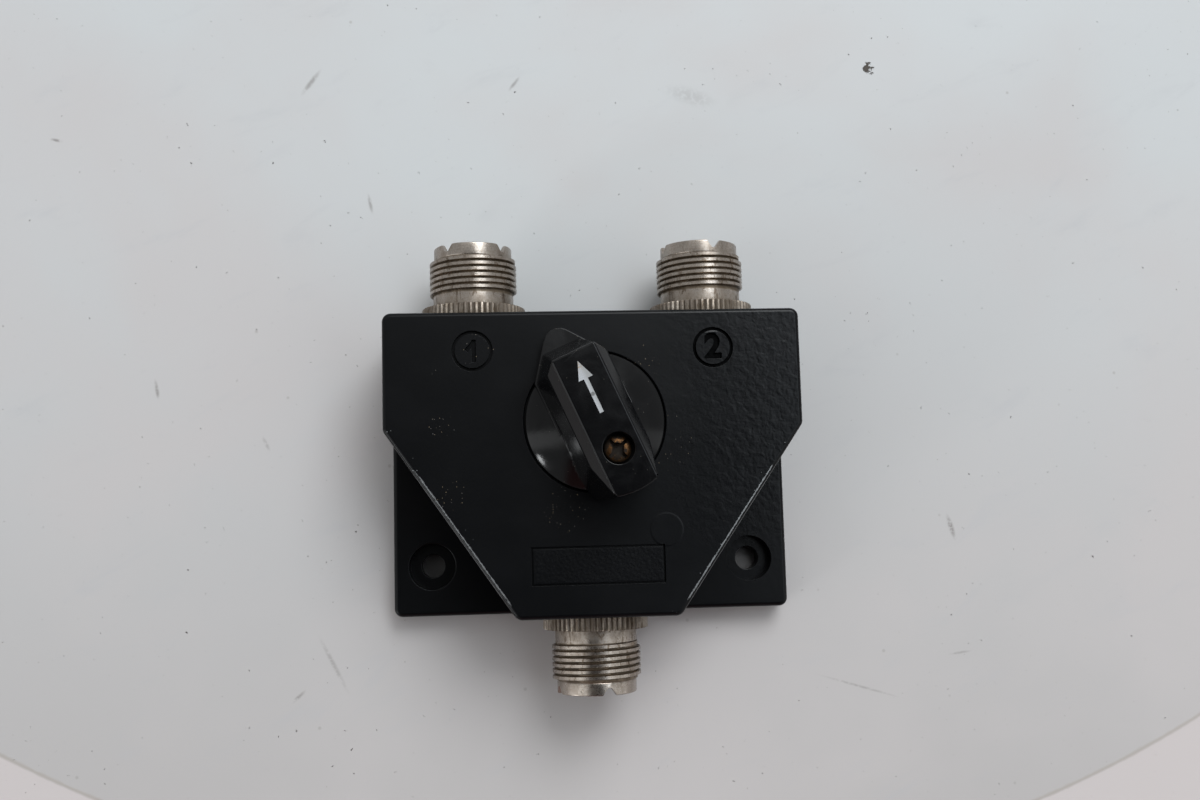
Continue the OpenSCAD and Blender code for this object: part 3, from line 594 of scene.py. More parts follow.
def nickelPlate():
    c, p = connector, plating
    material, tree, shader = newMaterial("nickelPlate", (0.60, 0.56, 0.51), 0.3, 1.0)
    where = node(tree, "Attribute", attribute_name="along").outputs["Vector"]

    def stretched(scale):
        return node(tree, "Mapping", {"Vector": where, "Scale": scale}).outputs[0]

    x, y, s = parts(tree, where)
    radius = fromAxis(tree, x, y)
    blotch = noise(tree, where, 0.35, 5, 0.6, 0.6)
    fine = noise(tree, where, 3.0, 4, 0.65)
    lathe = noise(tree, stretched((0.12, 0.12, 6.0)), 1.2, 3, 0.7)

    # grime and painted shade darken the thread's roots, the knurl and the neck beside the flange
    inThread = times(tree, fade(tree, s, c["threadStart"], c["threadStart"] + 0.4),
                     fade(tree, s, c["threadEnd"] + 0.4, c["threadEnd"]))
    root = times(tree, inThread, fade(tree, radius, 7.78, 7.38))
    inKnurl = times(tree, fade(tree, s, 2.7, 2.4), fade(tree, radius, 9.37, 9.15),
                    fade(tree, radius, 8.9, 9.05))
    besideFlange = fade(tree, s, 5.0, 2.6)
    patchy = ramp(tree, plus(tree, blotch, times(tree, fine, 0.3)), 0.42, 0.78, 0.45, 1.0)
    grimeAndShade = either(tree, root, times(tree, inKnurl, 0.75), times(tree, besideFlange, 0.5))
    grimeAndShade = times(tree, grimeAndShade, patchy)

    # smears, less on the rim, and dark dots
    smears = noise(tree, stretched((1.0, 1.0, 0.4)), 0.9, 5, 0.7, 0.6)
    smears = times(tree, ramp(tree, smears, 0.52, 0.64), fade(tree, s, 12.2, 11.2, 0.25, 1.0))
    dots, drawn = cells(tree, where, 1.1)
    dot = times(tree, ramp(tree, dots, 0.16, 0.06), ramp(tree, lots(tree, drawn)[0], 0.72, 0.76))

    # golden flanks on the thread, and a darker flange
    flank = times(tree, inThread, fade(tree, radius, 7.88, 7.7))
    onFlange = times(tree, fade(tree, s, 2.9, 2.5), fade(tree, radius, 8.5, 9.0))
    light = tint(tree, ramp(tree, blotch, 0.4, 0.7), p["light"], p["shaded"])
    gold = tint(tree, ramp(tree, blotch, 0.35, 0.65), p["gold"], p["darkGold"])
    light = tint(tree, times(tree, flank, 0.7), light, gold)
    light = tint(tree, times(tree, onFlange, 0.6), light, p["flange"])

    colour = tint(tree, times(tree, lathe, 0.3), light, p["latheTone"], "MULTIPLY")
    colour = tint(tree, times(tree, smears, 0.85), colour, p["smearTone"], "MULTIPLY")
    colour = tint(tree, ramp(tree, fine, 0.42, 0.66, 0.0, 0.5), colour, p["fineTone"], "MULTIPLY")
    # grime and painted shade in the hollows
    colour = tint(tree, grimeAndShade, colour, tint(tree, fine, p["shadeAndDirt"], p["paleShadeAndDirt"]))
    colour = tint(tree, times(tree, dot, 0.8), colour, p["dots"])
    rough = plus(tree, ramp(tree, blotch, 0.35, 0.75, 0.23, 0.40), times(tree, grimeAndShade, 0.3))
    feed(tree, shader, {"Base Color": colour, "Metallic": minus(tree, 1.0, times(tree, grimeAndShade, 0.75)),
                        "Roughness": rough})
    bumps(tree, shader, plus(tree, times(tree, lathe, 0.5), minus(tree, fine, dot)), 0.012)
    return material


def knurledFlange():  # every third column of points is drawn in
    c = connector
    sides = 3 * c["teeth"]
    step = 2 * math.pi / sides
    made = drum("flange", c["flangeRadius"], 0, c["flangeThick"], sides=sides)

    def column(p):
        return math.floor(math.atan2(p.y, p.x) / step + 0.25)

    pick(made, "EDGE", lambda a, b: upright(a, b) and column(a) % 3 == 0)
    bpy.ops.mesh.select_mode(type="VERT")
    small = 1 - c["toothDepth"] / c["flangeRadius"]
    bpy.ops.transform.resize(value=(small, small, 1), center_override=(0, 0, 0))
    release()

    def onRim(a, b):
        return level(a, b, c["flangeThick"]) and min(a.xy.length, b.xy.length) > 8

    roundEdges(made, onRim, 0.22, 2)
    return made


def threadRidge():
    c = connector
    low, half, crest = c["threadStart"] + 0.4, c["ridgeHalf"], c["crestHalf"]
    root, full = c["neckRadius"] - c["ridgeSunk"], c["threadRadius"]
    outline = [(root, low - half), (full - 0.03, low - crest - 0.03), (full, low - crest),
               (full, low + crest), (full - 0.03, low + crest + 0.03), (root, low + half)]
    around, stepsPerTurn, runOut = len(outline), 72, 14
    clearAll()
    bpy.ops.mesh.primitive_circle_add(vertices=around, radius=mm, fill_type="NOTHING")
    made = bpy.context.object
    for point, (radius, height) in zip(made.data.vertices, outline):
        point.co = Vector((radius, 0, height)) * mm
    wind = made.modifiers.new("wind", "SCREW")
    wind.axis = "Z"
    wind.angle = 2 * math.pi * c["threadTurns"]
    wind.screw_offset = c["pitch"] * c["threadTurns"] * mm
    wind.steps = wind.render_steps = round(stepsPerTurn * c["threadTurns"])
    wind.use_merge_vertices = False
    bpy.ops.object.modifier_apply(modifier=wind.name)
    # the ridge runs out of the neck at both ends
    last = len(made.data.vertices) // around - 1
    for i, point in enumerate(made.data.vertices):
        step = i // around
        grown = min(1.0, step / runOut, (last - step) / runOut)
        radius = point.co.xy.length
        point.co.xy *= min(radius, (root + (full - root) * grown) * mm) / radius
    bpy.ops.object.mode_set(mode="EDIT")
    bpy.ops.mesh.select_all(action="DESELECT")
    bpy.ops.mesh.select_mode(type="EDGE")
    bpy.ops.mesh.select_non_manifold()
    bpy.ops.mesh.edge_face_add()
    bpy.ops.mesh.select_all(action="SELECT")
    bpy.ops.mesh.normals_make_consistent(inside=False)
    release()
    return settle(made, "ridge")


def makeShell():
    c = connector
    stem, neck, rim, bore = c["stemRadius"], c["neckRadius"], c["rimRadius"], c["socketRadius"]
    low, ground, threadEnd, end = c["stemEnd"], c["socketFloor"], c["threadEnd"], c["length"]
    notchLow = end - c["notchDepth"]
    made = turned("shell", [
        (0, low), (stem - 0.3, low), (stem, low + 0.3), (stem, 0.5), (neck, 0.5), (neck, threadEnd),
        (rim + 0.05, threadEnd + 0.12), (rim - 0.06, threadEnd + 0.28), (rim, threadEnd + 0.45),
        (rim, end - 0.25), (rim - 0.08, end - 0.08), (rim - 0.25, end), (0, end)])
    fuse(made, knurledFlange())
    carve(made, turned("bore", [(0, ground), (bore, ground), (bore, end - 0.2),
                                (bore + 0.2, end + 0.01), (bore + 0.2, 20), (0, 20)]))
    carve(made, drum("seat", c["insulatorRadius"], low - 1, ground + 1))
    for i in range(4):
        notch = block("notch", (-3, 4, notchLow), (3, 9, end + 1))
        for side in (-1, 1):
            trim(notch, (side * c["notchHalf"], 6, notchLow), (side * 0.86, 0, -0.62))
        carve(made, move(notch, spin(90 * i)))
    return fuse(made, threadRidge())


def rememberPlace(piece):  # keeps each point's place along and round the connector's own axis
    spots = [0.0] * (3 * len(piece.data.vertices))
    piece.data.vertices.foreach_get("co", spots)
    piece.data.attributes.new("along", "FLOAT_VECTOR", "POINT").data.foreach_set("vector", spots)


shell = makeShell()
rememberPlace(shell)
nickel = nickelPlate()
for name, cadName, x, way, turn in connector["places"]:
    copied = move(twin(shell, name), socketPlace(x, way) @ spin(turn))
    finishPiece(copied, "switch_body", [cadName], nickel)
bpy.data.objects.remove(shell)


# knob

knob = {
    "y": 7.1, "turn": 24, "top": 41.2, "foot": 24.8, "footHalf": 6.9, "shoulder": 10.0,
    "gripHalf": 3.75, "chamferHalf": 5.3, "chamferDrop": 2.2, "front": 10.75,
    "tail": 13.25, "tailBend": -7.4, "tailFoot": (6.2, -11.05), "bow": 0.55,
    "noseTop": 26.9, "noseHalf": 3.5, "noseRadius": 2.8, "noseSlope": 0.1, "noseCentre": 14.6,
    "crease": 14.0,
    "skirtRadius": 12, "skirtLow": 23.2, "skirtEdge": 24.9, "dome": 4.1,
    "pocketRadius": 8.6, "pocketTop": 25.9, "screwHole": 1.4,
    "screwY": -6.4, "screwRecess": 2.6, "screwSeat": 38.1,
    "arrowTip": 9.0, "arrowTail": -0.1, "arrowHalf": 1.25, "arrowHead": 3.1, "arrowLine": 0.35,
    "arrowDepth": 0.3,
    "colour": (0.0025, 0.0026, 0.003), "haze": (0.0045, 0.0046, 0.005), "gloss": 0.235,
    "hair": (0.04, 0.04, 0.042), "dust": (0.16, 0.15, 0.12),
}


def knobPlace():  # from the knob's own axes to where it rests
    return shift(0, knob["y"]) @ spin(knob["turn"])


def knobCoords(tree, turn=0, stretch=(1, 1, 1)):
    return objectCoords(tree, (0, knob["y"], 0), knob["turn"] + turn, stretch)


def planeThrough(a, b, c):  # a point and the normal, which points away from the knob's axis
    a, b, c = Vector(a), Vector(b), Vector(c)
    normal = (b - a).cross(c - a).normalized()
    middle = Vector((0, 0, 30))
    return (a, normal) if normal.dot(a - middle) > 0 else (a, -normal)


def flankPlane(side):  # the long steep side under the chamfer
    k = knob
    x, z = side * k["chamferHalf"], k["top"] - k["chamferDrop"]
    return planeThrough((x, 0, z), (x, 5, z), (side * k["footHalf"], 0, k["foot"]))


def gripBlock():
    k = knob
    top, half, foot, noseTop = k["top"], k["gripHalf"], k["foot"], k["noseTop"]
    made = block("grip", (-8, -15, foot), (8, 15, top))
    trim(made, *planeThrough((-3, k["front"], top), (3, k["front"], top), (0, k["crease"], noseTop)))
    for side in (-1, 1):
        x, z = side * k["chamferHalf"], top - k["chamferDrop"]
        tailFoot = (side * k["tailFoot"][0], k["tailFoot"][1], foot)
        trim(made, *planeThrough((side * half, -5, top), (side * half, 5, top), (x, 0, z)))
        trim(made, *flankPlane(side))
        noseFoot = (side * k["noseHalf"], k["crease"], noseTop)
        shoulder = (side * k["footHalf"], k["shoulder"], foot)
        trim(made, *planeThrough((side * half, k["front"], top), noseFoot, shoulder))
        trim(made, *planeThrough((x, k["tailBend"], z), (side * half, -k["tail"], top), tailFoot))
    # the tail is bowed, in seven strips
    for i in range(-3, 4):
        x, slope = i * 1.7, 2 * k["bow"] / half ** 2
        trim(made, (x, -k["tail"] - k["bow"] + slope / 2 * x * x, 30), (slope * x, -1, 0))
    pick(made, "VERT", lambda p: True)
    bpy.ops.mesh.remove_doubles(threshold=0.12 * mm)
    bpy.ops.mesh.dissolve_limited(angle_limit=math.radians(1))
    release()
    return made


def noseBlock():
    k = knob
    made = block("nose", (-k["footHalf"], 0, k["foot"]), (k["footHalf"], 18, k["noseTop"] + 2))
    trim(made, (0, k["noseCentre"], k["noseTop"]), (0, k["noseSlope"], 1))
    # straight from the grip's shoulders, then round the tip
    reach = Vector((k["footHalf"], k["shoulder"] - k["noseCentre"]))
    first = math.acos(k["noseRadius"] / reach.length) - math.atan2(-reach.y, reach.x)
    for i in range(17):
        angle = first + (math.pi - 2 * first) * i / 16
        out = Vector((math.cos(angle), math.sin(angle), 0))
        trim(made, out * k["noseRadius"] + Vector((0, k["noseCentre"], 25)), out)
    return made


def arrowTool(low, high):
    k = knob
    tip, half, long, line = k["arrowTip"], k["arrowHalf"], k["arrowHead"], k["arrowLine"]
    head = block("arrowHead", (-half, tip - long, low), (half, tip, high))
    for side in (-1, 1):
        trim(head, (0, tip, 40), (side * long, half, 0))
    return fuse(head, block("arrowShaft", (-line, k["arrowTail"], low), (line, tip - long + 0.1, high)))


def knobPlastic():
    k = knob
    material, tree, shader = newMaterial("knobPlastic", k["colour"], 0.12, gloss=k["gloss"])
    where = knobCoords(tree)
    z = parts(tree, where)[2]
    haze = noise(tree, where, 0.22, 4, 0.6, 0.5)
    fine = noise(tree, where, 3.5, 3, 0.6)

    # fine scratches on the top, two ways, and specks of dust
    oneWay = noise(tree, knobCoords(tree, 18, (0.05, 1, 0.3)), 1.6, 2, 0.6)
    crossed = noise(tree, knobCoords(tree, -50, (1, 0.04, 0.3)), 1.3, 2, 0.6)
    hairs = either(tree, ramp(tree, oneWay, 0.69, 0.76), ramp(tree, crossed, 0.69, 0.76))
    hairs = times(tree, hairs, fade(tree, z, 40.5, 41.1))
    dust, drawn = cells(tree, where, 1.5)
    speck = times(tree, ramp(tree, dust, 0.11, 0.05), ramp(tree, lots(tree, drawn)[0], 0.84, 0.86))

    colour = tint(tree, ramp(tree, haze, 0.4, 0.8), k["colour"], k["haze"])
    colour = tint(tree, times(tree, hairs, 0.25), colour, k["hair"])
    colour = tint(tree, times(tree, speck, 0.8), colour, k["dust"])
    rough = plus(tree, ramp(tree, haze, 0.3, 0.8, 0.10, 0.24), times(tree, hairs, 0.25))
    feed(tree, shader, {"Base Color": colour, "Roughness": rough})
    bumps(tree, shader, plus(tree, times(tree, haze, 2.0), plus(tree, fine, hairs)), 0.006)
    return material


def makeKnob():
    k = knob
    foot, edge, low, rise, wide = k["foot"], k["skirtEdge"], k["skirtLow"], k["dome"], k["skirtRadius"]
    grip = gripBlock()
    roundEdges(grip, lambda a, b: max(a.z, b.z) > foot + 0.1, 0.28)
    nose = noseBlock()

    def onNose(a, b):
        return min(a.z, b.z) > foot + 1 and max(a.y, b.y) > 0.1 and not upright(a, b)

    roundEdges(nose, onNose, 0.22)

    # the skirt, with a dome that is part of a ball
    ball = (wide * wide + rise * rise) / (2 * rise)
    spread = math.asin(wide / ball)
    middle = edge + rise - ball
    angles = [spread * i / 14 for i in range(14)]
    arc = [(ball * math.sin(angle), middle + ball * math.cos(angle)) for angle in angles]
    made = turned("knobBody", arc + [(wide - 0.12, edge + 0.06), (wide, edge - 0.1), (wide, low + 0.15),
                                     (wide - 0.15, low), (0, low)], 128)
    fuse(made, nose, grip)
    flanks = [flankPlane(side) for side in (-1, 1)]
    centre = Vector((0, 0, middle))

    def atFoot(p):  # where a flank meets the dome
        onDome = abs((p - centre).length - ball) < 0.03
        return onDome and any(abs((p - a).dot(normal)) < 0.03 for a, normal in flanks)

    roundEdges(made, lambda a, b: atFoot(a) and atFoot(b), 0.16, 2)
    carve(made, drum("pocket", k["pocketRadius"], low - 1, k["pocketTop"]))
    carve(made, drum("screwWay", k["screwHole"], 20, 50, 0, k["screwY"], 48))
    carve(made, drum("screwRecess", k["screwRecess"], k["screwSeat"], 50, 0, k["screwY"], 64))
    roundEdges(made, lambda a, b: onCircle(a, b, 0, k["screwY"], k["screwRecess"], k["top"]), 0.12, 2)
    carve(made, arrowTool(k["top"] - k["arrowDepth"], k["top"] + 1))
    finishPiece(move(made, knobPlace()), "selector", ["knob"], knobPlastic())


makeKnob()


# knob screw

knobScrew = {
    "end": 23.8, "radius": 1.3, "headRadius": 2.3, "headHeight": 1.6,
    "slotLong": 1.9, "slotHalf": 0.3, "slotLow": 0.6, "slotTurn": 20,
    "wellHalf": 0.95, "wellLow": 0.4, "wellTurn": 62,
    "centre": (2.6, 1.253, 0), "gloss": 0.2,
    # the last colour is dirt and painted shade on the screw
    "brass": (0.15, 0.072, 0.03), "darkBrass": (0.07, 0.038, 0.017), "shadeAndDirt": (0.010, 0.0075, 0.005),
}


def screwBrass(seat):
    s = knobScrew
    material, tree, shader = newMaterial("shadedGrimyBrass", (0.42, 0.23, 0.11), 0.35, 1.0, s["gloss"])
    where = objectCoords(tree, s["centre"])
    z = parts(tree, objectCoords(tree))[2]
    patches = noise(tree, where, 0.9, 4, 0.6)
    fine = noise(tree, where, 5, 3, 0.6)
    # painted shade low in the head's recess and slots and round the head's rim, with dirt in patches
    deepShade = fade(tree, z, seat + 1.35, seat + 0.9)
    x, y = parts(tree, where)[:2]
    rim = fade(tree, fromAxis(tree, x, y), 1.85, 2.2)
    dirtAndShade = either(tree, deepShade, rim, ramp(tree, patches, 0.44, 0.56))
    colour = tint(tree, fine, s["brass"], s["darkBrass"])
    # painted shade and dirt darken the brass
    colour = tint(tree, times(tree, dirtAndShade, 0.95), colour, s["shadeAndDirt"])
    rough = plus(tree, ramp(tree, patches, 0.3, 0.7, 0.3, 0.5), times(tree, dirtAndShade, 0.25))
    feed(tree, shader, {"Base Color": colour, "Metallic": minus(tree, 1.0, times(tree, dirtAndShade, 0.9)),
                        "Roughness": rough})
    bumps(tree, shader, plus(tree, patches, fine), 0.03)
    return material


def makeKnobScrew():
    s, seat = knobScrew, knob["screwSeat"]
    end, radius, head, high = s["end"], s["radius"], s["headRadius"], seat + s["headHeight"]
    made = turned("knobScrewBody", [
        (0, end), (radius - 0.3, end), (radius, end + 0.3), (radius, seat),
        (head - 0.02, seat), (head, seat + 0.9), (head - 0.1, seat + 1.2), (head - 0.4, seat + 1.45),
        (head - 1.0, seat + 1.56), (0, high)], 64)
    for angle in (s["slotTurn"], s["slotTurn"] + 90):
        slot = block("slot", (-s["slotLong"], -s["slotHalf"], seat + s["slotLow"]),
                     (s["slotLong"], s["slotHalf"], high + 1))
        carve(made, move(slot, spin(angle)))
    half = s["wellHalf"]
    well = block("well", (-half, -half, seat + s["wellLow"]), (half, half, high + 1))
    carve(made, move(well, spin(s["wellTurn"])))
    move(made, knobPlace() @ shift(0, knob["screwY"]))
    finishPiece(made, "selector", ["knob_screw"], screwBrass(seat))


makeKnobScrew()


# finishes of the pieces that keep their own shape

def wornMetal(name, light, dark, roughness, stretch=(1, 1, 1)):
    material, tree, shader = newMaterial(name, light, roughness, 1.0)
    where = objectCoords(tree)
    blotch = noise(tree, where, 0.35, 5, 0.62, 0.4)
    fine = noise(tree, where, 4.0, 3, 0.6)
    lines = noise(tree, objectCoords(tree, stretch=stretch), 2.0, 2, 0.7)
    pit = ramp(tree, cells(tree, where, 1.3)[0], 0.12, 0.05)
    stain = ramp(tree, plus(tree, blotch, times(tree, fine, 0.25)), 0.55, 0.85)
    colour = tint(tree, stain, light, dark)
    colour = tint(tree, times(tree, lines, 0.35), colour, dimmed(light, 0.6), "MULTIPLY")
    colour = tint(tree, times(tree, pit, 0.6), colour, dimmed(dark, 0.25))
    rough = ramp(tree, blotch, 0.3, 0.8, roughness - 0.08, roughness + 0.16)
    feed(tree, shader, {"Base Color": colour, "Roughness": plus(tree, rough, times(tree, lines, 0.08))})
    bumps(tree, shader, minus(tree, plus(tree, lines, fine), pit), 0.004)
    return material


def speckled(name, light, dark, roughness, perMm=0.5, fleck=None, stretch=(1, 1, 1)):
    material, tree, shader = newMaterial(name, light, roughness)
    where = objectCoords(tree, stretch=stretch)
    cloud = noise(tree, where, perMm, 5, 0.6, 0.3)
    fine = noise(tree, where, 6.0, 3, 0.6)
    colour = tint(tree, ramp(tree, cloud, 0.35, 0.7), light, dark)
    if fleck:
        flecks = ramp(tree, cells(tree, where, 1.4)[0], 0.14, 0.07)
        colour = tint(tree, times(tree, flecks, 0.7), colour, fleck)
    colour = tint(tree, times(tree, fine, 0.25), colour, dimmed(light, 0.7), "MULTIPLY")
    feed(tree, shader, {"Base Color": colour,
                        "Roughness": ramp(tree, cloud, 0.3, 0.8, roughness - 0.06, roughness + 0.12)})
    bumps(tree, shader, plus(tree, cloud, fine), 0.01)
    return material


def sheetPaint():
    base = (0.006, 0.0064, 0.0072)
    material, tree, shader = newMaterial("coverPaint", base, 0.42)
    where = objectCoords(tree)
    smudge = noise(tree, where, 0.12, 5, 0.6, 0.5)
    rubs = noise(tree, objectCoords(tree, turn=35, stretch=(0.06, 1, 1)), 0.9, 3, 0.65)
    rub = times(tree, ramp(tree, rubs, 0.64, 0.74), ramp(tree, smudge, 0.45, 0.65))
    colour = tint(tree, ramp(tree, smudge, 0.4, 0.75), base, (0.011, 0.0112, 0.012))
    colour = tint(tree, times(tree, rub, 0.5), colour, (0.10, 0.10, 0.10))
    feed(tree, shader, {"Base Color": colour, "Roughness": ramp(tree, smudge, 0.3, 0.8, 0.36, 0.55)})
    bumps(tree, shader, noise(tree, where, 1.4, 2, 0.55), 0.03)
    return material


def arrowWhite():  # worn at the tip and in the middle of the shaft
    material, tree, shader = newMaterial("arrowWhite", (0.78, 0.79, 0.79), 0.45)
    where = knobCoords(tree)
    x, y = parts(tree, where)[:2]
    wear = noise(tree, where, 1.6, 4, 0.65)
    fine = noise(tree, where, 6, 3, 0.6)
    atTip = times(tree, fade(tree, y, 6.8, 8.2), ramp(tree, wear, 0.42, 0.58))
    rubbed = either(tree, ramp(tree, wear, 0.66, 0.72), spot(tree, where, (-0.05, 3.2, 41.2), 0.42))
    colour = tint(tree, ramp(tree, fine, 0.45, 0.8), (0.42, 0.44, 0.46), (0.33, 0.34, 0.35))
    colour = tint(tree, times(tree, atTip, 0.85), colour, (0.30, 0.20, 0.09))
    colour = tint(tree, fade(tree, x, -0.4, 0.6), colour, (0.30, 0.31, 0.31))
    colour = tint(tree, times(tree, rubbed, 0.8), colour, (0.09, 0.09, 0.09))
    feed(tree, shader, {"Base Color": colour, "Roughness": ramp(tree, wear, 0.3, 0.8, 0.38, 0.6)})
    bumps(tree, shader, fine, 0.01)
    return material


zinc = wornMetal("zincSteel", (0.58, 0.58, 0.56), (0.30, 0.27, 0.22), 0.32, (1, 0.2, 1))
nutMetal = wornMetal("nutNickel", (0.60, 0.57, 0.52), (0.34, 0.29, 0.22), 0.30, (0.2, 1, 1))
springSteel = wornMetal("springSteel", (0.62, 0.62, 0.60), (0.36, 0.33, 0.30), 0.24, (0.08, 1, 1))
darkSteel = wornMetal("darkSteel", (0.20, 0.20, 0.21), (0.08, 0.07, 0.06), 0.36)
copper = wornMetal("copperStrip", (0.70, 0.42, 0.24), (0.28, 0.15, 0.08), 0.30, (0.1, 1, 1))
bronze = wornMetal("bladeBronze", (0.72, 0.52, 0.30), (0.34, 0.22, 0.11), 0.28, (1, 0.1, 1))
brass = wornMetal("contactBrass", (0.70, 0.60, 0.38), (0.26, 0.19, 0.10), 0.27, (1, 0.25, 1))
insulating = speckled("insulatorPlastic", (0.80, 0.77, 0.68), (0.66, 0.60, 0.48), 0.42,
                      fleck=(0.30, 0.24, 0.15))
phenolic = speckled("phenolic", (0.20, 0.095, 0.04), (0.11, 0.05, 0.022), 0.38, 0.7,
                    stretch=(0.25, 0.25, 1.5))
nylon = speckled("nylon", (0.78, 0.76, 0.68), (0.70, 0.66, 0.55), 0.4)
keptNodes = {
    "back_cover": sheetPaint(), "back_cover_screws": zinc,
    "connector_lock_washers": zinc, "connector_lock_nuts": nutMetal,
    "detent_spring": springSteel, "detent_spring_screw": zinc, "detent_cam": nylon,
    "pointer_arrow": arrowWhite(), "rotor": phenolic, "thrust_washer": springSteel,
    "retaining_ring": darkSteel, "upper_contact_blade": bronze, "lower_contact_blade": bronze,
    "blade_spacer_rivet": zinc, "pivot_rivet": zinc,
}
for socket in ("output_1", "output_2", "common"):
    keptNodes[socket + "_insulator"] = insulating
    keptNodes[socket + "_centre_contact"] = brass
    keptNodes[socket + "_contact_strip"] = copper
for name, material in keptNodes.items():
    dress(cadNodes[name], material)
print("finished", len(keptNodes), "nodes that keep their shape")


# floor

tableTop = {
    # the near colour is painted shade on the floor's near side
    "size": 3, "nearShade": (0.475, 0.455, 0.447), "far": (0.565, 0.585, 0.59),
    "cloud": (0.545, 0.515, 0.508), "smear": (0.44, 0.45, 0.47),
    "edgeCentre": (5.6, 158.6, 0), "edgeRadius": 237.1,
    "beyondEdge": (0.61, 0.56, 0.55), "seam": (0.36, 0.31, 0.26),
    "chip": (58.6, 79.7, 0), "chipRadius": 2.3, "torn": (0.075, 0.065, 0.055),
    # the second colour here is painted shade under the part
    "grit": (0.30, 0.28, 0.26), "shadeUnderPart": (0.03, 0.029, 0.028), "scuff": (0.17, 0.15, 0.14),
    # x, y, turn, half width, length over width, and how dark
    "scuffs": ((-52.3, 76.8, -36, 0.7, 5.5, 0.55), (-12.7, 76.5, -37, 0.5, 4.5, 0.55),
               (-41.0, 52.4, 11, 0.5, 5, 0.55), (-81.1, 16.8, 10, 0.5, 5, 0.65),
               (70.5, -12.8, 16, 0.7, 4.5, 0.7), (-48.3, -35.3, 27, 0.6, 12, 0.35),
               (-54.7, -40.9, -48, 0.5, 4, 0.5), (-100.6, 65.4, 79, 0.45, 3.5, 0.65),
               (70.9, -36.9, -83, 0.35, 8, 0.4), (-60.8, 6.2, 26, 0.5, 4, 0.35),
               (22.2, 73.9, 74, 2.4, 2.8, 0.2), (51.0, -42.6, 73, 0.35, 29, 0.35)),
}


def floorPaint():
    t = tableTop
    material, tree, shader = newMaterial("paleFloor", (0.56, 0.57, 0.57), 0.6, gloss=0.2)
    where = objectCoords(tree)
    x, y = parts(tree, where)[:2]
    cloud = noise(tree, where, 0.012, 4, 0.55, 0.3)
    smear = noise(tree, objectCoords(tree, turn=25, stretch=(1, 3, 1)), 0.05, 4, 0.6, 0.5)
    # darker and pinker towards the near side: painted shade on the floor
    colour = tint(tree, fade(tree, y, -80, 90), t["nearShade"], t["far"])
    colour = tint(tree, ramp(tree, cloud, 0.38, 0.70, 0.0, 0.7), colour, t["cloud"])
    colour = tint(tree, ramp(tree, smear, 0.55, 0.85, 0.0, 0.35), colour, t["smear"])

    # the round edge of the table top, with a thin brown line along its seam
    ragged = noise(tree, where, 0.35, 4, 0.6)
    past = minus(tree, distance(tree, where, t["edgeCentre"]), t["edgeRadius"] * mm)
    colour = tint(tree, times(tree, fade(tree, past, 0, 0.6), 0.8), colour, t["beyondEdge"])
    seam = ramp(tree, absolute(tree, past), times(tree, ragged, 1.1 * mm), 0.0)
    colour = tint(tree, times(tree, seam, 0.45), colour, t["seam"])

    # a chip, scuffs and scattered grit
    torn = noise(tree, where, 0.9, 4, 0.7)
    chip = spot(tree, where, t["chip"], t["chipRadius"], 0.9)
    chip = ramp(tree, plus(tree, torn, times(tree, chip, 0.24)), 0.69, 0.72)
    colour = tint(tree, chip, colour, t["torn"])
    for px, py, turn, half, longer, dark in t["scuffs"]:
        local = objectCoords(tree, (px, py, 0), turn, (1, 1 / longer, 1))
        scuff = times(tree, spot(tree, local, (0, 0, 0), half, 0.9), ramp(tree, torn, 0.34, 0.54))
        colour = tint(tree, times(tree, scuff, dark), colour, t["scuff"])
    grains, drawn = cells(tree, where, 0.16)
    grit = times(tree, ramp(tree, grains, 0.07, 0.03), ramp(tree, lots(tree, drawn)[0], 0.80, 0.84))
    colour = tint(tree, times(tree, grit, 0.4), colour, t["grit"])

    # painted shade where the part stands, as seen through its mounting holes
    shadeUnderPart = times(tree, fade(tree, absolute(tree, x), 34.5, 33),
                    fade(tree, absolute(tree, y), 25, 23.5))
    colour = tint(tree, times(tree, shadeUnderPart, 0.85), colour, t["shadeUnderPart"])
    feed(tree, shader, {"Base Color": colour})
    bumps(tree, shader, minus(tree, noise(tree, where, 0.05, 3, 0.5), times(tree, chip, 3.0)), 0.05)
    return material


def makeFloor():
    clearAll()
    bpy.ops.mesh.primitive_plane_add(size=tableTop["size"])
    floor = bpy.context.object
    floor.name = "floor"
    floor.data.materials.append(floorPaint())


makeFloor()
print("floor laid")


# light and camera, with places in metres

lamps = (  # name, place, what it points at, diameter, power and colour
    ("farLamp", (0.36, 0.80, 1.05), (0, 0, 0), 0.8, 11.2, (0.94, 0.975, 1)),
    ("windowLamp", (-1.0, -0.62, 0.36), (0, 0, 0.02), 0.22, 2.2, (0.95, 0.98, 1)),
)
for name, place, target, size, power, colour in lamps:
    clearAll()
    bpy.ops.object.light_add(type="AREA", location=place)
    lamp = bpy.context.object
    lamp.name = name
    lamp.data.shape = "DISK"
    lamp.data.size = size
    lamp.data.energy = power
    lamp.data.color = colour
    lamp.rotation_euler = (Vector(target) - Vector(place)).to_track_quat("-Z", "Y").to_euler()

room = {
    "strength": 1.35, "beyond": 0.3, "patch": 1.5,
    "tone": (0.97, 0.99, 1.0), "patchTone": (0.86, 0.97, 1.08),
    "lowShade": (0.17, 0.06, 0.055), "highShade": (0.02, 0.017, 0.017),
}


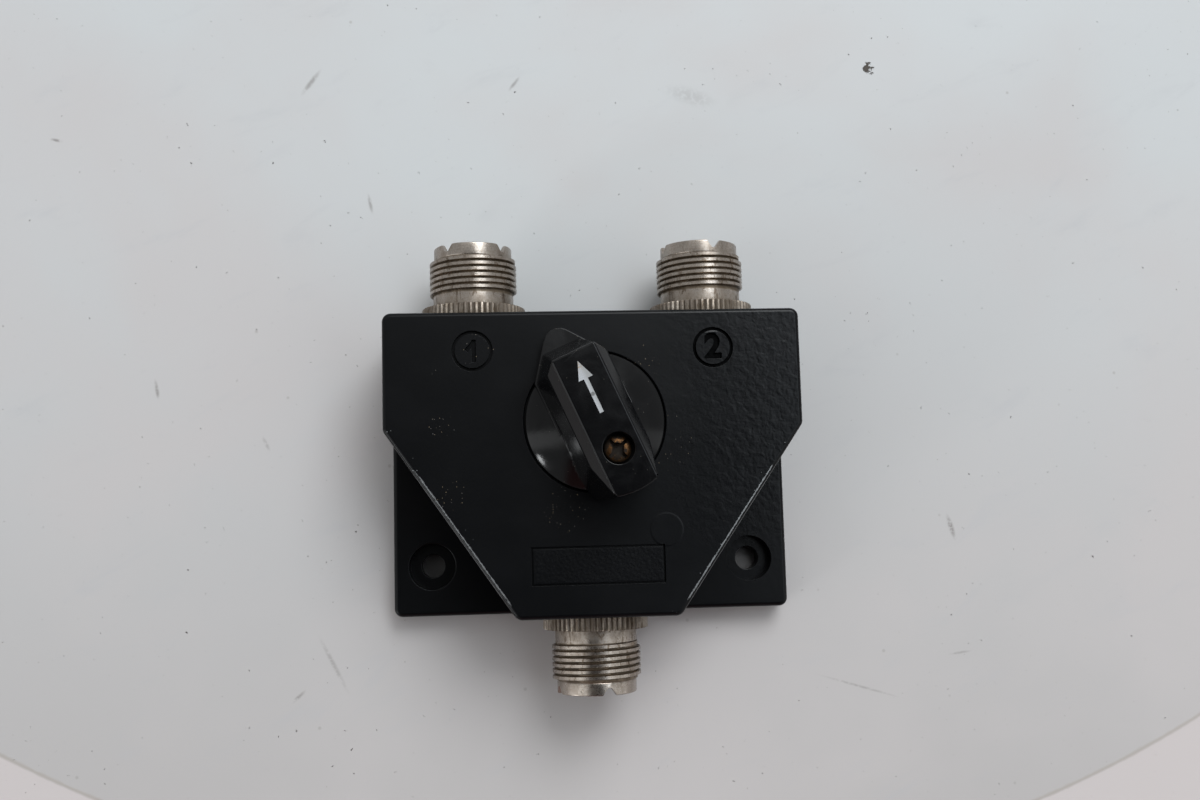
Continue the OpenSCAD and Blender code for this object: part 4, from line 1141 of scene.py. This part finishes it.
def makeWorld():
    world = bpy.data.worlds.new("room")
    bpy.context.scene.world = world
    world.use_nodes = True
    tree = world.node_tree
    x, y, z = parts(tree, node(tree, "TexCoord").outputs["Generated"])
    side = absolute(tree, x)

    # a dim ceiling, paler at both sides, beyond the object and in a patch on the right
    ceiling = ramp(tree, z, 0.99, 0.80, 0.20, 0.36)
    bands = times(tree, ramp(tree, side, 0.40, 0.62), ramp(tree, y, -0.04, -0.12),
                  ramp(tree, y, -0.42, -0.28), ramp(tree, x, 0.3, -0.3, 0.5, 0.9))
    beyond = times(tree, ramp(tree, side, 0.62, 0.35), ramp(tree, y, 0.13, 0.30),
                   ramp(tree, y, 0.95, 0.8))
    patch = times(tree, ramp(tree, x, 0.10, 0.30), ramp(tree, x, 0.62, 0.50),
                  ramp(tree, y, -0.30, -0.02), ramp(tree, y, 0.5, 0.3))
    pale = plus(tree, ceiling, bands, times(tree, beyond, room["beyond"]),
                times(tree, patch, room["patch"]))
    grey = node(tree, "CombineXYZ", {0: pale, 1: pale, 2: pale}).outputs[0]

    # a dark patch overhead and on the near side
    overhead = times(tree, ramp(tree, x, -0.50, -0.36), ramp(tree, x, 0.34, 0.12),
                     ramp(tree, y, 0.16, 0.04))
    nearShade = times(tree, ramp(tree, side, 0.48, 0.34), ramp(tree, y, 0.02, -0.07))
    shade = times(tree, either(tree, overhead, nearShade), ramp(tree, z, -0.05, 0.2))
    dark = tint(tree, ramp(tree, z, 0.5, 0.9), room["lowShade"], room["highShade"])
    colour = tint(tree, shade, tint(tree, 1.0, grey, room["tone"], "MULTIPLY"), dark)
    colour = tint(tree, times(tree, patch, 0.6), colour, room["patchTone"], "MULTIPLY")
    tree.links.new(colour, tree.nodes["Background"].inputs["Color"])
    tree.nodes["Background"].inputs["Strength"].default_value = room["strength"]


makeWorld()

photoView = {
    "sensor": 36, "lens": 37.177,
    "place": ((0.997415, 0.018855, -0.069339, -0.013943), (-0.026077, 0.994155, -0.104762, -0.011740),
              (0.066958, 0.106299, 0.992077, 0.237472), (0, 0, 0, 1)),
}
clearAll()
bpy.ops.object.camera_add()
camera = bpy.context.object
camera.data.sensor_width = photoView["sensor"]
camera.data.lens = photoView["lens"]
camera.data.clip_start = 0.01
camera.matrix_world = Matrix(photoView["place"])
bpy.context.scene.camera = camera
bpy.context.scene.view_settings.view_transform = "Standard"
print("camera and lamps set")
